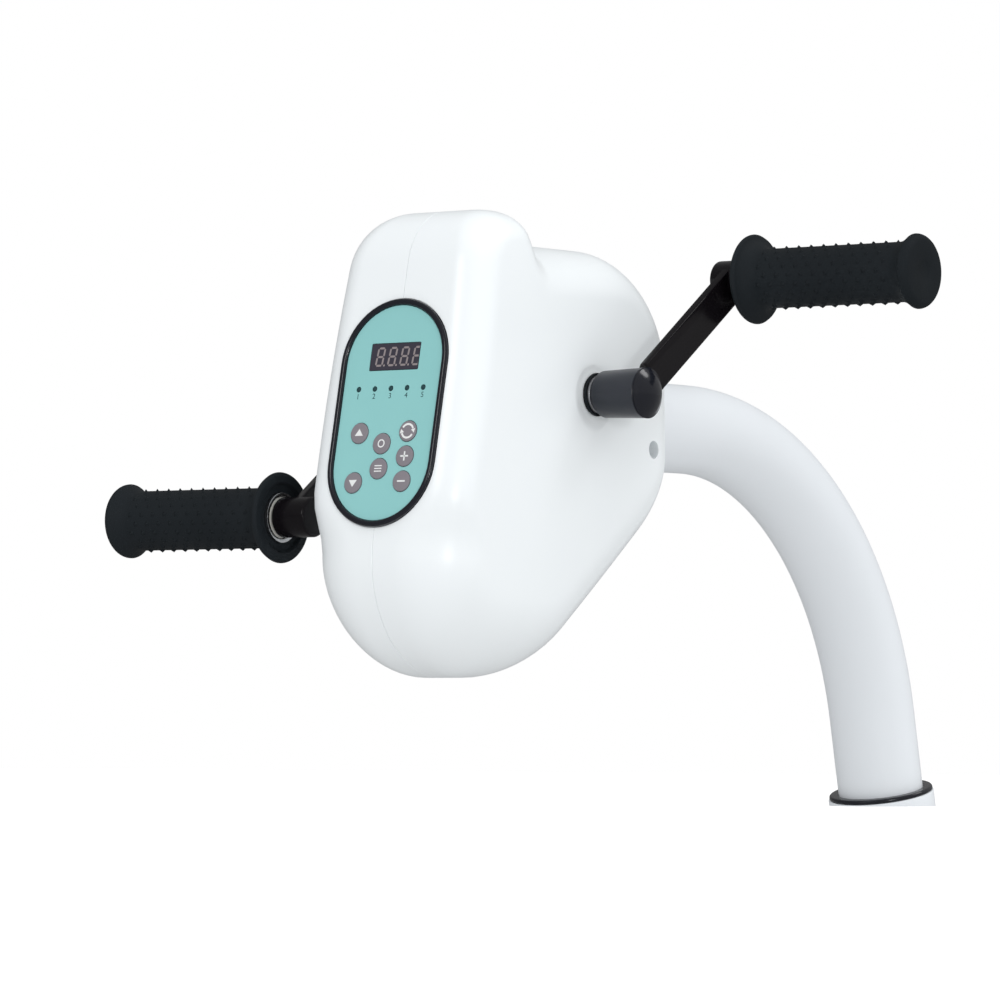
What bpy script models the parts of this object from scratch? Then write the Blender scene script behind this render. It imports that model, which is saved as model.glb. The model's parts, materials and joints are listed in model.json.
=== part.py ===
"""Hand crank head of an electric pedal exerciser, on its gooseneck.

Metres, +Z up. The control panel faces -Y and the "right" crank is at +X.
The origin is the centre of the level cut at the foot of the outer column.
Two housing shells close over a steel chassis that is bolted to the gooseneck.
A worm gearmotor turns the crank axle through a belt. Each crank carries a
grip that spins on its own spindle.
"""

from math import acos, asin, atan, atan2, ceil, cos, pi, radians, sin, tan

import bmesh
import bpy
from mathutils import Matrix, Vector

# Clearances
GAP = 0.0003  # between pieces that touch
SLIDE_GAP = 0.0005  # round a hole's fastener or a key

# Column and gooseneck
COLUMN_LEAN = radians(12.0)
COLUMN_DIAMETER = 0.0635
COLUMN_WALL = 0.0022
COLUMN_RISE = 0.0072  # along the axis, from the foot to the rim
BUSH_FLANGE = 0.0024
BUSH_EDGE = 0.0008
BUSH_OVERHANG = 0.0006  # the flange stands in from the column's outside
TUBE_DIAMETER = 0.0508
TUBE_WALL = 0.0020
NECK_STRAIGHT = 0.0557  # along the axis, from the foot to the bend
BEND_RADIUS = 0.207
BEND_TO_CRANK = 0.1587  # level run from the bend's end to the crank axis
CRANK_RISE = 0.0115  # crank axis above the tube's level run
NECK_PLATE_HALF = (0.0320, 0.0290)
NECK_PLATE_THICKNESS = 0.005
NECK_PLATE_CORNER = 0.010
LEAD_HOLE_RADIUS = 0.008

# Housing outline, in the plane of the parting line, from the crank axis
FACE_SLOPE = 0.216  # the front leans back by this much of its height
FACE_Y = -0.121
FACE_Z = -0.0131  # height of the panel's centre
COWL_TOP = 0.0985
COWL_BACK = -0.050
NOTCH_Y = -0.041
DOME_TOP = 0.082
HOUSING_BACK = 0.090
BACK_FOOT = -0.061
BELLY_BACK = -0.034
BELLY = -0.155
TOE_Y = -0.142
KNEE_Z = -0.070
HALF_WIDTH = 0.053
WALL = 0.003
FLANK_BOW = 0.13
BOW_CENTRE = -0.033
BOW_SPAN = 0.125
FLANK_TAPER = 0.10
TAPER_START = -0.060
TAPER_SPAN = 0.150
FLANK_CENTRE = (-0.012, -0.030)
OUTER_ROWS = 4
INNER_ROWS = OUTER_ROWS // 2
ARC_STEP = radians(22.0)
LONGEST_RUN = 0.060

# Crank drive
AXLE_RADIUS = 0.0085
AXLE_HALF = 0.0772
ARM_ANGLE = radians(35.0)  # of the right arm above +Y
ARM_LENGTH = 0.117
ARM_WIDTH = 0.0202
ARM_THICKNESS = 0.0050
ARM_X = AXLE_HALF - 0.0010  # inner face of the flat bar
DISH_FLOOR = HALF_WIDTH - 0.0028
DISH_RADIUS = 0.0200
DISH_BACKING = 0.0035
DISH_CORNER = 0.0012
SEAL_RADIUS = 0.0119
SEAL_START = DISH_FLOOR + 0.0012
SEAL_LENGTH = 0.0030
HUB_START = SEAL_START + SEAL_LENGTH + 0.0005
HUB_END = AXLE_HALF + 0.0076
HUB_RADIUS = 0.0138
HUB_STEP = 0.0026  # the hub's collar by the seal is this much smaller
HUB_HOLE_RADIUS = 0.0105
CAP_DOME = 0.0058
CAP_OVERHANG = 0.0002
BOLT_HEAD_RADIUS = 0.0072
BOLT_HEAD_HEIGHT = 0.0042
BOLT_SHANK_RADIUS = 0.0040
BOLT_SHANK_LENGTH = 0.018
BEARING_RADIUS = 0.0175
BEARING_START = 0.0310
BEARING_LENGTH = 0.0100
BEARING_SHOULDER = 0.0035
CUP_WALL = 0.0032
EAR_X = 0.0300
EAR_THICKNESS = 0.0030
EAR_MARGIN = 0.0035  # of the ear round the cup
EAR_FOOT = 0.0020  # the ear is this much lower than the web
WEB_Y = 0.0715
WEB_THICKNESS = 0.0040
WEB_INSET = 0.0010  # the web ends inside the ears
CUP_BACK = 0.0030
CUP_LIP = 0.0010
CRANK_PULLEY_RADIUS = 0.048
PULLEY_RIM = 0.006
PULLEY_HUB_RADIUS = 0.016
PULLEY_HUB_LENGTH = 0.018
PULLEY_WEB = (0.004, 0.008)
DRIVE_PULLEY_RADIUS = 0.014
PULLEY_X = 0.0080
PULLEY_WIDTH = 0.0120
GROOVES = 3
GROOVE_DEPTH = 0.0012
RIM_LAND = 0.0010
BELT_THICKNESS = 0.0024
BELT_MARGIN = 0.0010  # belt narrower than the pulley on each side
MOTOR_SHAFT_Y = -0.025
MOTOR_SHAFT_Z = -0.085
SHAFT_RADIUS = 0.0050
SHAFT_DEPTH = 0.022  # of the output shaft in the gearbox
GEARBOX_DEPTH = 0.044
GEARBOX_HEIGHT = 0.046
GEARBOX_END = 0.0060
GEARBOX_CORNER = 0.006
PIN_CHAMFER = 0.0007
MOTOR_RADIUS = 0.021
MOTOR_LENGTH = 0.060
MOTOR_FLANGE = (0.0060, 0.0012)  # length, and how far it stands out
MOTOR_BOSS = (0.0070, 0.0030)  # radius and height at the motor's far end

# Grips
BOSS_RADIUS = 0.0111
BOSS_START = ARM_X - 0.0076
BOSS_END = ARM_X + 0.0143
BOSS_CHAMFER = 0.0016
BOSS_FLOOR = 0.0045  # closed end of the blind spindle hole
SPINDLE_RADIUS = 0.0060
SLEEVE_RADIUS = 0.0138
SLEEVE_WALL = 0.0022
SLEEVE_START = BOSS_END + 0.0007
GRIP_START = BOSS_END + GAP
GRIP_LENGTH = 0.1122
GRIP_END = GRIP_START + GRIP_LENGTH
GRIP_RADIUS = 0.0166
GRIP_FLANGE_RADIUS = 0.0250
GRIP_FLANGE_THICKNESS = 0.0068
GRIP_RECESS_RADIUS = 0.0190
GRIP_RECESS_DEPTH = 0.0022
GRIP_END_RADIUS = 0.0207
GRIP_END_WALL = 0.0070
GRIP_FLARE = 0.0140  # length of the flared end
FLANGE_EDGE = 0.0015
FLANGE_SHAPE = [(0.0, 0.21), (0.32, 0.0), (0.68, 0.07), (1.0, 0.40), (1.44, 0.79), (1.81, 1.0)]
FLARE_SHAPE = [(0.25, 0.24), (0.51, 0.71), (0.71, 1.0), (0.93, 0.46), (1.0, -0.71)]
RIB_VALLEY = 0.35  # of the pitch, before each crest
RIB_COUNT = 11
RIB_HEIGHT = 0.0010
RIB_MARGIN = 0.0060  # plain barrel at each end of the ribs
BUSH_LENGTH = 0.0140
BUSH_SETBACK = 0.0008
NUT_HEIGHT = 0.0065
NUT_RADIUS = 0.0085
SPINDLE_SETBACK = 0.0030  # spindle's end inside the sleeve's
NUT_SETBACK = 0.0015

# Panel, in its own plane: x across, y up the face, z out of it
PANEL_HALF_WIDTH = 0.0353
PANEL_HALF_HEIGHT = 0.0632
BEZEL_BAND = 0.0034
BEZEL_PROUD = 0.0018
REBATE = 0.0012
TRAY_DEPTH = 0.0140
TRAY_WALL = 0.0014
OVERLAY_THICKNESS = 0.0012
OVERLAY_TOP = 0.0003
BOARD_HALF = (PANEL_HALF_WIDTH - 0.0069, PANEL_HALF_HEIGHT - 0.0070)
BOARD_THICKNESS = 0.0016
BOARD_TOP = -0.0050
PILLAR_HALF = (BOARD_HALF[0] - 0.0050, BOARD_HALF[1] - 0.0262)
PILLAR_RADIUS = 0.0024
SWITCH_RADIUS = 0.0030
SWITCH_CLEARANCE = 0.0002  # under a pressed key
FILM_LEDGE = 0.0016
BEZEL_EDGE = 0.0007
DISPLAY_CENTRE = (0.0, 0.0310)
DISPLAY_HALF = (0.0162, 0.0074)
DISPLAY_CORNER = 0.0006
INDICATOR_ROW = 0.0133
INDICATOR_PITCH = 0.0108
INDICATOR_RADIUS = 0.0013
INDICATOR_COUNT = 5
INDICATOR_BASE = (0.0006, 0.0013)  # how far the foot stands out, and its height
KEY_RADIUS = 0.0057
KEY_PROUD = 0.0006
KEY_RIM = 0.0008
KEY_TRAVEL = 0.0005
KEY_RIM_HEIGHT = 0.0009
KEY_EDGE = (0.0004, 0.0003)
KEY_PLACES = {
    "key_up": (-0.0170, -0.0112),
    "key_mode": (-0.0012, -0.0173),
    "key_time": (-0.0012, -0.0311),
    "key_down": (-0.0170, -0.0386),
    "key_direction": (0.0154, -0.0108),
    "key_plus": (0.0154, -0.0246),
    "key_minus": (0.0154, -0.0384),
}

# Housing screws
REAR_SCREW = (0.0585, -0.0280)
REAR_SEAT = EAR_X + EAR_THICKNESS + GAP
REAR_SEAT_DEPTH = 0.0040
JOIN_SCREWS = [(-0.072, 0.074), (0.035, 0.058), (-0.092, -0.124), (0.020, -0.080)]
SCREW_RADIUS = 0.0020
SCREW_HEAD_RADIUS = 0.0037
SCREW_HEAD_HEIGHT = 0.0026
RECESS_RADIUS = 0.0050
SCREW_BOSS_WALL = 0.0022
JOIN_SCREW_HEAD_X = 0.0180  # from the parting line to the head's seat
JOIN_SCREW_BITE = 0.0110  # into the right shell's post
NECK_BOLT_RADIUS = 0.0040
NECK_BOLT_X = 0.0165
NECK_BOLT_HEAD = 0.0050
NECK_BOLT_HEAD_RADIUS = 0.0068
NECK_BOLT_TAIL = 0.0040  # past the plate

# Facets round a shape
COLUMN_FACETS = 24
TUBE_FACETS = 20
HUB_FACETS = 14
GRIP_FACETS = 12
PULLEY_FACETS = 16
PIN_FACETS = 10
SCREW_FACETS = 8
PEG_FACETS = 6
PAST = 0.002  # a cutter reaches this far past what it cuts

ALONG_X = Matrix.Rotation(pi / 2, 4, "Y")
ALONG_Y = Matrix.Rotation(-pi / 2, 4, "X")


# Materials
def material(name, colour, roughness, metallic=0.0):
    """A Principled material with one plain colour."""
    made = bpy.data.materials.new(name)
    made.use_nodes = True
    shader = made.node_tree.nodes["Principled BSDF"]
    shader.inputs["Base Color"].default_value = (*colour, 1.0)
    shader.inputs["Roughness"].default_value = roughness
    shader.inputs["Metallic"].default_value = metallic
    return made


def make_materials():
    return {
        "white_shell": material("white_shell", (0.83, 0.88, 0.89), 0.22),
        "white_paint": material("white_paint", (0.84, 0.89, 0.92), 0.25),
        "black_rubber": material("black_rubber", (0.018, 0.022, 0.026), 0.62),
        "black_paint": material("black_paint", (0.030, 0.030, 0.036), 0.25, 0.3),
        "black_plastic": material("black_plastic", (0.035, 0.036, 0.042), 0.40),
        "teal_film": material("teal_film", (0.262, 0.565, 0.565), 0.38),
        "smoked_lens": material("smoked_lens", (0.055, 0.050, 0.068), 0.12),
        "grey_key": material("grey_key", (0.26, 0.235, 0.26), 0.42),
        "green_board": material("green_board", (0.03, 0.17, 0.07), 0.50),
        "bright_steel": material("bright_steel", (0.62, 0.62, 0.63), 0.28, 1.0),
        "bearing_steel": material("bearing_steel", (0.55, 0.55, 0.57), 0.22, 1.0),
        "motor_steel": material("motor_steel", (0.50, 0.50, 0.52), 0.32, 1.0),
        "cast_alloy": material("cast_alloy", (0.50, 0.51, 0.53), 0.45, 0.9),
        "nylon": material("nylon", (0.80, 0.79, 0.74), 0.45),
    }


# Building blocks
def empty(name, parent=None, place=Matrix()):
    """A frame that other objects are placed in."""
    made = bpy.data.objects.new(name, None)
    bpy.context.scene.collection.objects.link(made)
    made.parent = parent
    made.matrix_local = place
    return made


def solid(name, bm, finish, parent):
    """An object of the mesh, with its origin on its parent frame."""
    bmesh.ops.remove_doubles(bm, verts=bm.verts, dist=1e-6)
    bmesh.ops.recalc_face_normals(bm, faces=bm.faces)
    mesh = bpy.data.meshes.new(name)
    bm.to_mesh(mesh)
    bm.free()
    mesh.shade_smooth()
    mesh.set_sharp_from_angle(angle=radians(32))
    mesh.materials.append(finish)
    made = bpy.data.objects.new(name, mesh)
    bpy.context.scene.collection.objects.link(made)
    made.parent = parent
    return made


def combine(target, name, bm, operation, parent):
    """Join a shape to the target, or cut it out, with a live Boolean."""
    tool = solid(name, bm, target.data.materials[0], parent)
    tool.hide_render = True
    tool.display_type = "WIRE"
    modifier = target.modifiers.new(name, "BOOLEAN")
    modifier.operation = operation
    modifier.solver = "EXACT"
    modifier.object = tool


def turned(profile, steps, place=Matrix(), bm=None):
    """Turn (distance along, radius) points about the Z axis, then place the shape.

    A profile that starts and ends on the axis gives a solid piece, and any
    other is closed to a ring.
    """
    bm = bm or bmesh.new()
    points = [bm.verts.new((radius, 0.0, along)) for along, radius in profile]
    edges = [bm.edges.new(pair) for pair in zip(points, points[1:])]
    if profile[0][1] > 0 or profile[-1][1] > 0:
        edges.append(bm.edges.new((points[-1], points[0])))
    before = set(bm.verts) - set(points)
    bmesh.ops.spin(bm, geom=points + edges, cent=(0, 0, 0), axis=(0, 0, 1), angle=2 * pi,
                   steps=steps, use_merge=True)
    made = [v for v in bm.verts if v not in before]
    bmesh.ops.remove_doubles(bm, verts=made, dist=1e-6)
    made = [v for v in bm.verts if v not in before]
    bmesh.ops.transform(bm, matrix=place, verts=made)
    return bm


def tube_profile(start, end, inner, outer, chamfer=0.0):
    """A ring's section, with its outer corners chamfered if asked."""
    if not chamfer:
        return [(start, inner), (start, outer), (end, outer), (end, inner)]
    return [(start, inner), (start, outer - chamfer), (start + chamfer, outer),
            (end - chamfer, outer), (end, outer - chamfer), (end, inner)]


def rod_profile(start, end, radius, chamfer=0.0):
    """A pin's section, with its corners chamfered if asked."""
    return tube_profile(start, end, 0.0, radius, chamfer)


def prism(outline, low, high, place=Matrix(), bm=None):
    """Extrude a flat outline along Z, from low to high, then place the shape."""
    bm = bm or bmesh.new()
    corners = [bm.verts.new((x, y, low)) for x, y in outline]
    base = bm.faces.new(corners)
    made = bmesh.ops.extrude_face_region(bm, geom=[base], use_keep_orig=True)["geom"]
    top = [v for v in made if isinstance(v, bmesh.types.BMVert)]
    bmesh.ops.translate(bm, vec=(0, 0, high - low), verts=top)
    bmesh.ops.transform(bm, matrix=place, verts=corners + top)
    return bm


def stacked(levels, bm=None):
    """A body through flat outlines with equally many points, each (outline, height)."""
    bm = bm or bmesh.new()
    places = [[(x, y, high) for x, y in outline] for outline, high in levels]
    bottom = first_ring(bm, places[0])
    ring = bottom
    for level in places[1:]:
        ring = extrude_ring(bm, ring, level)
    bm.faces.new(bottom)
    bm.faces.new(ring)
    return bm


def stadium(half_width, half_height, steps=9):
    """An upright outline with round ends."""
    rise = half_height - half_width
    points = []
    for turn, centre in ((0.0, rise), (pi, -rise)):
        for k in range(steps + 1):
            angle = turn + pi * k / steps
            points.append((half_width * cos(angle), centre + half_width * sin(angle)))
    return points


def rounded_box(half_width, half_height, radius, centre=(0.0, 0.0), steps=3):
    """A rectangle's outline with rounded corners."""
    points = []
    for quarter, (sx, sy) in enumerate(((1, 1), (-1, 1), (-1, -1), (1, -1))):
        for k in range(steps + 1):
            angle = pi / 2 * (quarter + k / steps)
            points.append((centre[0] + sx * (half_width - radius) + radius * cos(angle),
                           centre[1] + sy * (half_height - radius) + radius * sin(angle)))
    return points


def tangent_outline(circles, steps=12, clear=False):
    """The taut band round two circles, each (x, y, radius), clear of them if asked."""
    (x0, y0, r0), (x1, y1, r1) = circles
    span = Vector((x1 - x0, y1 - y0))
    heading = atan2(span.y, span.x)
    lean = acos((r0 - r1) / span.length)
    points = []
    for x, y, radius, first, last in ((x0, y0, r0, heading + lean, heading - lean + 2 * pi),
                                      (x1, y1, r1, heading - lean, heading + lean)):
        reach = radius / cos((last - first) / steps / 2) if clear else radius
        for k in range(steps + 1):
            angle = first + (last - first) * k / steps
            points.append((x + reach * cos(angle), y + reach * sin(angle)))
    return points


def extrude_ring(bm, ring, places):
    """Extrude a closed ring of vertices, and set the new ones in their places."""
    edges = [bm.edges.get(pair) for pair in zip(ring, ring[1:] + ring[:1])]
    made = bmesh.ops.extrude_edge_only(bm, edges=edges)["geom"]
    fresh = {v for v in made if isinstance(v, bmesh.types.BMVert)}
    following = []
    for vertex in ring:
        following.append(next(e.other_vert(vertex) for e in vertex.link_edges
                              if e.other_vert(vertex) in fresh))
    for vertex, place in zip(following, places):
        vertex.co = place
    return following


def first_ring(bm, places):
    """A closed ring of vertices and edges."""
    ring = [bm.verts.new(place) for place in places]
    for pair in zip(ring, ring[1:] + ring[:1]):
        bm.edges.new(pair)
    return ring


def close_at(bm, ring, place):
    """End a surface at one point."""
    tip = extrude_ring(bm, ring, [place] * len(ring))
    bmesh.ops.remove_doubles(bm, verts=tip, dist=1e-6)


# Gooseneck route
def neck_frames(steps=9):
    """Frames along the gooseneck, their Z axis along it, from below the foot to the tail."""
    frames = []

    def add(y, z, heading):
        frames.append(Matrix.Translation((0, y, z)) @ Matrix.Rotation(heading - pi / 2, 4, "X"))

    heading = pi / 2 + COLUMN_LEAN
    below = -2 * COLUMN_DIAMETER / 2 * tan(COLUMN_LEAN)
    add(below * cos(heading), below * sin(heading), heading)
    start = Vector((NECK_STRAIGHT * cos(heading), NECK_STRAIGHT * sin(heading)))
    centre = start + BEND_RADIUS * Vector((-sin(heading), cos(heading)))
    for k in range(steps + 1):
        now = heading + (pi - heading) * k / steps
        spot = centre - BEND_RADIUS * Vector((-sin(now), cos(now)))
        add(spot.x, spot.y, now)
    add(spot.x - BEND_TO_CRANK + tail_end() + NECK_PLATE_THICKNESS / 2, spot.y, pi)
    return frames, spot


def tail_end():
    """Where the gooseneck's end plate meets the chassis, behind the crank axis."""
    return WEB_Y + WEB_THICKNESS + GAP


# Housing surface
def face_y(z):
    """The front's distance ahead of the crank axis, at a height on the parting line."""
    return FACE_Y + (z - FACE_Z) * FACE_SLOPE


def housing_corners():
    """The parting outline's corners: y, z, radius, then the depth and the width of
    the rounded edge along the side that follows."""
    return [
        (TOE_Y, BELLY, 0.062, 0.044, 0.042),
        (BELLY_BACK, BELLY, 0.100, 0.034, 0.038),
        (HOUSING_BACK, BACK_FOOT, 0.060, 0.026, 0.034),
        (HOUSING_BACK, DOME_TOP, 0.064, 0.030, 0.036),
        (NOTCH_Y, DOME_TOP, 0.009, 0.018, 0.030),
        (COWL_BACK, COWL_TOP, 0.020, 0.018, 0.030),
        (face_y(COWL_TOP), COWL_TOP, 0.038, 0.019, 0.020),
        (face_y(KNEE_Z), KNEE_Z, 0.300, 0.034, 0.040),
    ]


def housing_outline():
    """Points round the parting outline: y, z, edge depth and edge width."""
    corners = housing_corners()
    points = []
    for i, (y, z, radius, depth, width) in enumerate(corners):
        corner = Vector((y, z))
        to_last = (Vector(corners[i - 1][:2]) - corner).normalized()
        to_next = (Vector(corners[(i + 1) % len(corners)][:2]) - corner).normalized()
        half = acos(to_last.dot(to_next)) / 2
        centre = corner + (to_last + to_next).normalized() * radius / sin(half)
        start = corner + to_last * radius / tan(half) - centre
        end = corner + to_next * radius / tan(half) - centre
        angle = atan2(start.y, start.x)
        turn = (atan2(end.y, end.x) - angle + pi) % (2 * pi) - pi
        steps = max(2, ceil(abs(turn) / ARC_STEP))
        for k in range(steps + 1):
            share = k / steps
            blend = share * share * (3 - 2 * share)
            spot = centre + radius * Vector((cos(angle + turn * share), sin(angle + turn * share)))
            points.append((spot.x, spot.y, corners[i - 1][3] * (1 - blend) + depth * blend,
                           corners[i - 1][4] * (1 - blend) + width * blend))
    filled = []
    for here, there in zip(points, points[1:] + points[:1]):
        pieces = max(1, ceil((Vector(here[:2]) - Vector(there[:2])).length / LONGEST_RUN))
        for k in range(pieces):
            filled.append(tuple(a + (b - a) * k / pieces for a, b in zip(here, there)))
    return filled


def flank_share(y, z):
    """How much of the half width the housing keeps here: the flanks bow and taper."""
    bow = 1 - FLANK_BOW * ((z - BOW_CENTRE) / BOW_SPAN) ** 2
    taper = 1 - FLANK_TAPER * (max(0.0, y - TAPER_START) / TAPER_SPAN) ** 1.6
    return bow * taper


def housing_rings(inset, rows):
    """Rings over one half of the housing, from the parting line to the flank."""
    outline, inward = outline_normals()
    spots = [Vector(point[:2]) for point in outline]
    rings = [[(GAP / 2, *(spot + normal * inset)) for spot, normal in zip(spots, inward)]]
    for row in range(rows + 1):
        angle = pi / 2 * row / rows
        ring = []
        for spot, normal, (_, _, depth, width) in zip(spots, inward, outline):
            y, z = spot + normal * (inset + (depth - inset) * (1 - cos(angle)))
            reach = HALF_WIDTH - inset - (width - inset) * (1 - sin(angle))
            ring.append((reach * flank_share(y, z), y, z))
        rings.append(ring)
    centre = Vector(FLANK_CENTRE)
    middle = []
    for _, y, z in rings[-1]:
        y, z = centre + (Vector((y, z)) - centre) * 0.5
        middle.append(((HALF_WIDTH - inset) * flank_share(y, z), y, z))
    tip = ((HALF_WIDTH - inset) * flank_share(*centre), *centre)
    return rings + [middle], tip


def flank_x(y, z, inset=0.0):
    """Half width of the housing's flank, near its middle."""
    return (HALF_WIDTH - inset) * flank_share(y, z)


def half_shell(name, side, finish, head):
    """One hollow half of the housing, side +1 at +X and -1 at -X."""
    bm = bmesh.new()
    outer, outer_tip = housing_rings(0.0, OUTER_ROWS)
    inner, inner_tip = housing_rings(WALL, INNER_ROWS)

    def mirrored(ring):
        return [(side * x, y, z) for x, y, z in ring]

    rim = first_ring(bm, mirrored(outer[0]))
    ring = rim
    for places in outer[1:]:
        ring = extrude_ring(bm, ring, mirrored(places))
    close_at(bm, ring, mirrored([outer_tip])[0])
    ring = rim
    for places in inner:
        ring = extrude_ring(bm, ring, mirrored(places))
    close_at(bm, ring, mirrored([inner_tip])[0])
    return solid(name, bm, finish, head)


def sideways(side, y, z):
    """Places a shape that is turned along +X, mirrored to its side."""
    return Matrix.Translation((0, y, z)) @ Matrix.Diagonal((side, 1, 1, 1)) @ ALONG_X


def build_housing(finish, head, panel):
    """Both shells, with their bosses, hub dishes, panel opening and neck hole."""
    for name, side in (("housing_right", 1), ("housing_left", -1)):
        shell = half_shell(name, side, finish, head)
        place = sideways(side, 0.0, 0.0)
        backing = rod_profile(DISH_FLOOR - DISH_BACKING, flank_x(0, 0) - WALL / 2, DISH_RADIUS + WALL)
        posts = turned(backing, TUBE_FACETS, place)
        boss = RECESS_RADIUS + SCREW_BOSS_WALL
        turned(rod_profile(REAR_SEAT, post_end(*REAR_SCREW, boss), boss), SCREW_FACETS,
               sideways(side, *REAR_SCREW), posts)
        for spot in JOIN_SCREWS:
            turned(rod_profile(GAP / 2, post_end(*spot, boss), boss), SCREW_FACETS,
                   sideways(side, *spot), posts)
        combine(shell, f"{name}_posts", posts, "UNION", head)
        combine(shell, f"{name}_holes", shell_holes(side), "DIFFERENCE", head)
        combine(shell, f"{name}_panel_hole", panel_opening(), "DIFFERENCE", panel)


def post_end(y, z, radius):
    """How far a post can reach into the wall of a shell without showing outside."""
    outline, normals = outline_normals()
    lowest = HALF_WIDTH
    for k in range(16):
        spot = Vector((y + radius * cos(2 * pi * k / 16), z + radius * sin(2 * pi * k / 16)))
        lowest = min(lowest, surface_x(spot, outline, normals))
    return lowest - WALL / 2


def outline_normals():
    """The parting outline with its inward normals."""
    outline = housing_outline()
    spots = [Vector(point[:2]) for point in outline]
    normals = []
    for i in range(len(spots)):
        along = (spots[(i + 1) % len(spots)] - spots[i - 1]).normalized()
        normals.append(Vector((-along.y, along.x)))
    return outline, normals


def surface_x(spot, outline, normals):
    """Half width of the housing's outside at a point of the parting plane."""
    nearest = min(range(len(outline)), key=lambda i: (spot - Vector(outline[i][:2])).length)
    y, z, depth, width = outline[nearest]
    inset = (spot - Vector((y, z))).dot(normals[nearest])
    share = min(1.0, max(0.0, 1 - inset / depth))
    return (HALF_WIDTH - width * (1 - sin(acos(share)))) * flank_share(*spot)


def shell_holes(side):
    """What is cut out of a shell: hub hole and dish, neck hole and screw holes."""
    far = HALF_WIDTH + DISH_RADIUS
    near = DISH_FLOOR - DISH_BACKING - PAST
    dish = [(near, 0.0), (near, HUB_HOLE_RADIUS), (DISH_FLOOR, HUB_HOLE_RADIUS),
            (DISH_FLOOR, DISH_RADIUS - DISH_CORNER), (DISH_FLOOR + DISH_CORNER, DISH_RADIUS),
            (far, DISH_RADIUS), (far, 0.0)]
    bm = turned(dish, TUBE_FACETS, sideways(side, 0.0, 0.0))
    tube_hole = rod_profile(WEB_Y, HOUSING_BACK + TUBE_DIAMETER, TUBE_DIAMETER / 2 + GAP)
    turned(tube_hole, TUBE_FACETS, Matrix.Translation((0, 0, -CRANK_RISE)) @ ALONG_Y, bm)
    seat = REAR_SEAT + REAR_SEAT_DEPTH
    rear = [(REAR_SEAT - PAST, 0.0), (REAR_SEAT - PAST, SCREW_RADIUS + SLIDE_GAP),
            (seat, SCREW_RADIUS + SLIDE_GAP), (seat, RECESS_RADIUS), (far, RECESS_RADIUS), (far, 0.0)]
    turned(rear, SCREW_FACETS, sideways(side, *REAR_SCREW), bm)
    for spot in JOIN_SCREWS:
        if side < 0:
            hole = [(-PAST, 0.0), (-PAST, SCREW_RADIUS + SLIDE_GAP),
                    (JOIN_SCREW_HEAD_X, SCREW_RADIUS + SLIDE_GAP),
                    (JOIN_SCREW_HEAD_X, RECESS_RADIUS), (far, RECESS_RADIUS), (far, 0.0)]
        else:
            hole = rod_profile(-PAST, JOIN_SCREW_BITE + PAST, SCREW_RADIUS + GAP)
        turned(hole, SCREW_FACETS, sideways(side, *spot), bm)
    return bm


# Panel
def panel_opening():
    """The rebate for the bezel and the opening for the tray behind it."""
    behind = stadium(*tray_half(GAP))
    rebate = stadium(PANEL_HALF_WIDTH + GAP, PANEL_HALF_HEIGHT + GAP)
    return stacked([(behind, -TRAY_DEPTH - PAST), (behind, -REBATE), (rebate, -REBATE), (rebate, TRAY_DEPTH)])


def tray_half(margin=0.0):
    """Half sizes of the tray behind the bezel."""
    inset = BEZEL_BAND - TRAY_WALL
    return (PANEL_HALF_WIDTH - inset + margin, PANEL_HALF_HEIGHT - inset + margin)


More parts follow.
